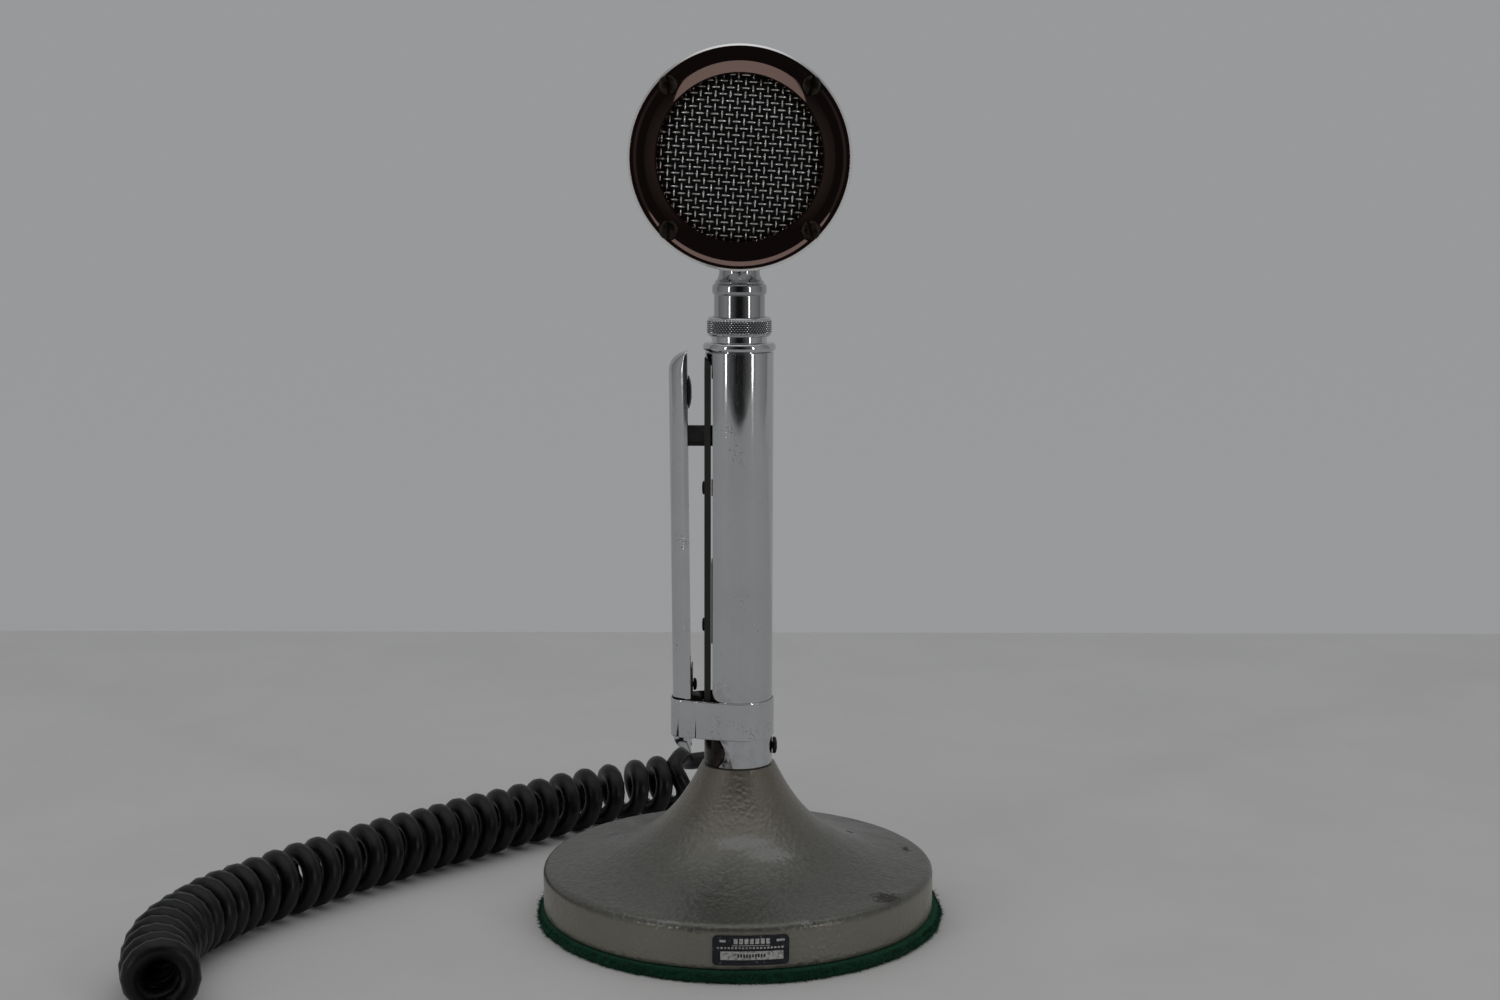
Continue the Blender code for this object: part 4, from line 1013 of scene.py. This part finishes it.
def bar_section(depth, half_width, w, steps):
    """One cross-section of the channel: the end of a long ellipse, then short flanges that are nearly flat."""
    half = []
    for i in range(steps + 1):
        angle = math.radians(59.6) * i / steps
        half.append((9.72 * (1 - math.cos(angle)), 6.70 * math.sin(angle)))
    half += [(4.92, 5.825), (5.05, 5.865), (5.3, 5.915), (5.6, 5.945), (6.0, 5.97), (6.35, 5.98)]
    half = [(BAR_EDGE_U - depth + u * depth / 6.35, y * half_width / 5.98) for u, y in half]
    return [(u, -y, w) for u, y in reversed(half)] + [(u, y, w) for u, y in half[1:]]


def bar_surface(inset, least, steps=20, cap_steps=16):
    depth, half_width = BAR_DEPTH - inset, BAR_HALF_WIDTH - inset
    rows = []
    for i in range(cap_steps + 1):
        angle = math.radians(90 - 90 * i / cap_steps)
        w = BAR_BOTTOM_W - (BAR_BOTTOM_CAP - inset) * math.sin(angle)
        rows.append(bar_section(max(depth * math.cos(angle), least), half_width, w, steps))
    length = BAR_TOP_W - BAR_BOTTOM_W
    for i in range(1, 12):
        rows.append(bar_section(depth, half_width, BAR_BOTTOM_W + length * i / 12, steps))
    for i in range(cap_steps + 1):
        angle = math.radians(90 * i / cap_steps)
        w = BAR_TOP_W + (BAR_TOP_CAP - inset) * math.sin(angle)
        rows.append(bar_section(max(depth * math.cos(angle), least), half_width, w, steps))
    return rows


def make_grip(chrome, screws):
    lean = Matrix.Translation(PIVOT) @ Matrix.Rotation(BAR_LEAN, 4, "Y")
    bar = moved(shell_between(bar_surface(0.0, 0.3), bar_surface(BAR_WALL, 0.1)), lean)
    piece("bar", bar, chrome, "grip", ("grip_bar",), sharp=28)
    seat = lean @ Vector((BAR_EDGE_U + 1.0, 0, BAR_SCREW_W))
    way = lean.to_3x3() @ Vector((1, 0, 0))
    screw("bar_screw_head", screws, seat, way, 2.15, 1.25, (0, 0.3, 1), "grip", ("bar_screw",))


# ---------------------------------------------------------------- head

def make_knurl(mat):
    """The coupling ring: a diamond knurl between two plain lands."""
    ridges, per_ridge, rows = 62, 8, 44
    steps = ridges * per_ridge
    low, high = 206.5, 213.1
    zone_low, zone_high = 207.3, 212.1
    verts, rings, recess = [], [], []
    levels = [low, low + 0.25, low + 0.6] + [zone_low + (zone_high - zone_low) * i / rows for i in range(rows + 1)] + [
        high - 0.55, high - 0.25, high]
    radii = {low: 10.55, low + 0.25: 10.85, low + 0.6: 11.0, high - 0.55: 11.0, high - 0.25: 10.8, high: 10.4}
    slope = 2 * math.pi * 11.1 / ridges
    for z in levels:
        ring = []
        for k in range(steps):
            angle = 2 * math.pi * k / steps
            deep = 0.0
            if z in radii:
                radius = radii[z]
            else:
                along = angle * 11.1
                one = abs(((along + (z - zone_low) * 0.84) / slope) % 1.0 - 0.5) * 2
                two = abs(((along - (z - zone_low) * 0.84) / slope) % 1.0 - 0.5) * 2
                edge = min(1.0, (z - zone_low) / 0.4, (zone_high - z) / 0.4)
                radius = 10.80 + 0.48 * max(edge, 0) * (min(one, two) ** 0.8)
                # How deep the point lies in a groove of the knurl; its chrome paints shade there.
                deep = (1 - min(one, two)) * min(1.0, max(edge, 0))
            ring.append(len(verts))
            verts.append((radius * math.cos(angle), radius * math.sin(angle), z))
            recess.append(deep)
        rings.append(ring)
    for radius, z in ((9.15, high), (9.15, 211.8), (9.9, 211.8), (9.9, low)):
        rings.append(list(range(len(verts), len(verts) + steps)))
        verts += [(radius * math.cos(2 * math.pi * k / steps), radius * math.sin(2 * math.pi * k / steps), z)
                  for k in range(steps)]
    faces = []
    for a, b in zip(rings, rings[1:] + rings[:1]):
        faces += [(a[k], a[(k + 1) % steps], b[(k + 1) % steps], b[k]) for k in range(steps)]
    recess += [0.0] * (len(verts) - len(recess))
    piece("knurled_ring", (verts, faces), mat, "coupling", ("coupling_ring",), sharp=50, recess=recess)


def make_neck(chrome):
    outline = [(7.6, 209.8, 0.1), (9.5, 209.8, 0.1), (9.5, 211.2, 0.1), (8.84, 211.5, 0.1), (8.84, 220.35, 0.15),
               (8.75, 220.6, 0.1), (9.25, 220.95, 0.3), (9.47, 221.6, 0.5), (9.47, 223.4, 0.5), (9.2, 224.2, 0.3),
               (8.6, 224.6, 0.2), (8.45, 225.2, 0.3), (7.75, 226.0, 0.4), (7.15, 227.4, 0.8), (6.95, 229.0, 0.8),
               (7.2, 231.0, 0.8), (8.0, 234.0, 0), (4.0, 234.0, 0), (4.0, 237.6, 0), (2.2, 237.6, 0), (2.2, 219.0, 0),
               (7.6, 219.0, 0)]
    neck = raw_object("neck", lathe(softened(outline, 4), 160))
    cup = raw_object("cup", prism(arc((0, HEAD_Z), SHELL_RADIUS + GAP, 0, 360, 160)[:-1], -10, 10, "Y"))
    carve(cup, rod(3.6, (0, 0, 226.5), (0, 0, 242), 48))
    data = cup.data
    cutter = ([tuple(v.co / MM) for v in data.vertices], [tuple(p.vertices) for p in data.polygons])
    bpy.data.objects.remove(cup, do_unlink=True)
    carve(neck, cutter)
    finish_piece(neck, chrome, "head", ("neck_barrel",), sharp=40)


def dome_y(rho):
    """How far forward the grille's middle surface is at a distance from its centre."""
    return -8.6 - 3.7 * (1 - min(rho / 28.0, 1.0) ** 5)


def make_grille(wire):
    """Plain-woven wire, drawn into a shallow dome and turned a few degrees."""
    pitch_x, pitch_z, radius, limit = 2.50, 2.24, 0.32, 29.3
    turn = math.radians(-2.7)
    centre = Vector((0, 0, HEAD_Z))
    meshes, recess = [], []
    for family in (0, 1):
        across, along = (pitch_z, pitch_x) if family == 0 else (pitch_x, pitch_z)
        count = int(limit / across) + 1
        for index in range(-count, count + 1):
            fixed = (index + 0.35) * across
            if abs(fixed) > limit - 1:
                continue
            reach = math.sqrt(limit**2 - fixed**2)
            samples = int(2 * reach / along * 10)
            points, depths = [], []
            for i in range(samples + 1):
                t = -reach + 2 * reach * i / samples
                wave = math.cos(math.pi * (t / along - 0.35 + index + family))
                u, v = (t, fixed) if family == 0 else (fixed, t)
                rho = math.hypot(u, v)
                crimp = math.copysign(min(1.0, 1.15 * abs(wave)) ** 0.75, wave)
                crimp = crimp * (1 - 0.7 * max(0.0, (rho - 27.8) / 1.5))
                x, z = u * math.cos(turn) - v * math.sin(turn), u * math.sin(turn) + v * math.cos(turn)
                points.append(centre + Vector((x, dome_y(rho) - 0.37 * crimp, z)))
                # How deep the wire lies in the weave; the wire's material paints shade where it is deep.
                depths.append(0.5 - 0.5 * crimp)
            meshes.append(tube_along(points, radius, 8))
            recess += [d for d in depths for _ in range(8)]
    rim = [(r + 29.9, h - 8.35) for r, h in arc((0, 0), (1.15, 0.42), 0, 360, 16)[:-1]]
    meshes.append(lathe(rim, 128, "Y", (0, 0, HEAD_Z)))
    weave = joined(*meshes)
    # The rim ring under the face ring's lip counts as deep, so it is painted in shade.
    recess += [0.6] * (len(weave[0]) - len(recess))
    piece("grille_weave", weave, wire, "head", ("mesh_grille",), sharp=60, weighted=False, recess=recess)


def make_head(ring_chrome, rim_chrome, shell_chrome, screws):
    centre = (0, 0, HEAD_Z)
    # Slope of the crowned face at each radius: leaning in, level at the crown, leaning out
    slopes = ((28.1, -0.04), (28.9, -0.17), (32.2, -0.14), (33.0, -0.02), (33.4, 0.02), (34.6, 0.04), (35.3, 0.14),
              (35.8, 0.14), (36.2, 0.04), (37.0, 0.02))
    crown, depth = [], -11.76
    for i in range(45):
        radius = 28.1 + 8.8 * i / 44
        for (r0, s0), (r1, s1) in zip(slopes, slopes[1:]):
            if r0 <= radius < r1:
                depth += (s0 + (s1 - s0) * (radius - r0) / (r1 - r0)) * 0.2
        crown.append((radius, depth, 0))
    profile = [(27.9, -9.0, 0.1), (27.9, -11.0, 0.15), *crown, (37.15, crown[-1][1], 0.1), (37.15, -11.0, 0.1),
               (36.6, -7.8, 0.1), (31.4, -7.8, 0.1), (31.4, -9.0, 0.1)]
    face = raw_object("face", lathe(softened(profile, 6), 256, "Y", centre))
    cutters = []
    corners = ((-1, 1), (1, 1), (-1, -1), (1, -1))
    places = [(sx * FACE_SCREW_REACH, HEAD_Z + sz * FACE_SCREW_REACH, sx) for sx, sz in corners]
    for x, z, _ in places:
        cutters += [rod(3.62, (x, -16, z), (x, -10.6, z), 56), rod(1.7, (x, -16, z), (x, -6, z), 24)]
    carve(face, *cutters)
    finish_piece(face, ring_chrome, "head", ("face_ring",), sharp=25)

    teeth, per_tooth = 290, 4
    rim = [(36.7, -11.3), (37.2, -11.62), (37.85, -11.28), (38.02, -11.1), (38.12, -10.8), (38.12, -8.3),
           (37.9, -7.75), (37.3, -7.6), (36.7, -7.7)]

    def mill(i, k, radius, height):
        if 3 <= i <= 6:
            return radius - 0.35 * (0.5 - 0.5 * math.cos(2 * math.pi * k / per_tooth)) ** 0.8, height
        return radius, height

    piece("face_milled_rim", lathe(rim, teeth * per_tooth, "Y", centre, mill), rim_chrome, "head", (),
          sharp=40)
    turns = (-0.10, 0.22, 0.05, -0.30)
    for number, ((x, z, _), slot_turn) in enumerate(zip(places, turns), 1):
        screw(f"face_screw_head_{number}", screws, (x, -10.9, z), (0, -1, 0), 3.35, 2.1, (slot_turn, 0, 1), "head",
              (f"face_screw_{number}",), 0.45, 0.8)

    shell = [(31.4, -7.25, 0.1), (SHELL_RADIUS, -7.25, 0.3), (SHELL_RADIUS, 6.0, 0)]
    shell += [(r, h, 0) for r, h in arc((SHELL_RADIUS - 9.5, 6.0), 9.5, 6, 90, 14)]
    shell += [(22.0, 16.3, 0), (16.0, 16.95, 0), (8.0, 17.3, 0), (0, 17.4, 0), (0, 16.0, 0), (16.0, 15.5, 0)]
    shell += [(r, h, 0) for r, h in arc((SHELL_RADIUS - 9.5, 6.0), 8.1, 90, 0, 8)]
    shell += [(SHELL_RADIUS - 1.4, -5.0, 0), (31.4, -5.0, 0)]
    cup = raw_object("shell", lathe(softened(shell, 3), 200, "Y", centre))
    carve(cup, rod(3.9, (0, 0, 225), (0, 0, 240), 40))
    finish_piece(cup, shell_chrome, "head", ("head_shell",), sharp=30)


# ---------------------------------------------------------------- the CAD's own pieces

def dress_nodes(looks):
    """Gives every CAD node that stays in view its material."""
    for look, names in looks:
        for name in names:
            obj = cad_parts[name]
            obj.data.materials.clear()
            obj.data.materials.append(look)


def main():
    make_camera()
    make_cord(rubber_look("cord rubber", 0.0024, 0.30, 0.04))
    make_world()
    make_room()

    chrome = chrome_look("chrome", streaks=(1, 1, 0.22), pits=0.25)
    bar_chrome = chrome_look("bar chrome", smooth=0.05, smudge=0.13, pits=0.55, streaks=(1, 1, 0.3))
    band_chrome = chrome_look("band chrome", smooth=0.06, smudge=0.20, pits=1.0)
    neck_chrome = chrome_look("neck chrome", (0.46, 0.465, 0.48), smudge=0.12, pits=0.1)
    ring_chrome = chrome_look("ring chrome", (0.40, 0.265, 0.235), 0.02, 0.06, tarnish=0.3)
    rim_chrome = chrome_look("rim chrome", (0.92, 0.92, 0.93), 0.08, 0.16)
    screws = screw_look()
    wire = wire_look()
    fibre = fibre_look()
    moulding = rubber_look("black moulding", 0.010, 0.35, 0.2)
    brass = plain_metal_look("brass", (0.70, 0.52, 0.25), (0.45, 0.31, 0.14), 0.25)
    steel = plain_metal_look("blued steel", (0.10, 0.095, 0.10), (0.045, 0.035, 0.03), 0.35)
    phenolic = dull_look("phenolic", (0.06, 0.035, 0.022), (0.03, 0.018, 0.012), 0.35)
    cloth = dull_look("black cloth", (0.004, 0.004, 0.004), (0.010, 0.010, 0.010), 0.85, 2500)
    gasket = dull_look("gasket rubber", (0.012, 0.012, 0.012), (0.020, 0.019, 0.018), 0.7)

    make_base(paint_look(), felt_look(), plate_look(), silver_look())
    make_column(chrome_look("tube chrome", streaks=(1, 1, 0.22), pits=0.25, foot=True), chrome, band_chrome, screws)
    make_grip(bar_chrome, screws)
    make_knurl(chrome_look("knurl chrome", smooth=0.10, smudge=0.22, pits=0.2, recess_shade=True))
    make_neck(neck_chrome)
    make_grille(wire)
    make_head(ring_chrome, rim_chrome, neck_chrome, screws)
    for number, z in (("upper", 153.5), ("lower", 104.9)):
        screw(f"strip_screw_head_{number}", screws, (-12.1, 0, z), (-1, 0, 0), 2.35, 0.85, (0, 0.2, 1), "stand",
              (f"strip_screw_{number}",))
    dress_nodes((
        (fibre, ("switch_strip", "pivot_block", "bar_insert", "plunger", "inner_cable")),
        (moulding, ("bar_bumper", "plug_boot", "plug_handle")),
        (bush_look(), ("cord_bush",)),
        (brass, ("strip_nut", "fixed_contact", "moving_contact")),
        (brass, tuple(f"head_plug_pin_{number}" for number in (1, 2, 3))),
        (steel, ("return_spring", "pivot_pin", "neck_nut")),
        (phenolic, ("socket_insert", "head_plug_insert", "contact_stack")),
        (cloth, ("grille_cloth",)),
        (gasket, ("cartridge_gasket",)),
        (wire, ("cartridge",)),
        (chrome, ("plug_shaft",)),
    ))
    bpy.context.scene.view_settings.view_transform = "Standard"


main()
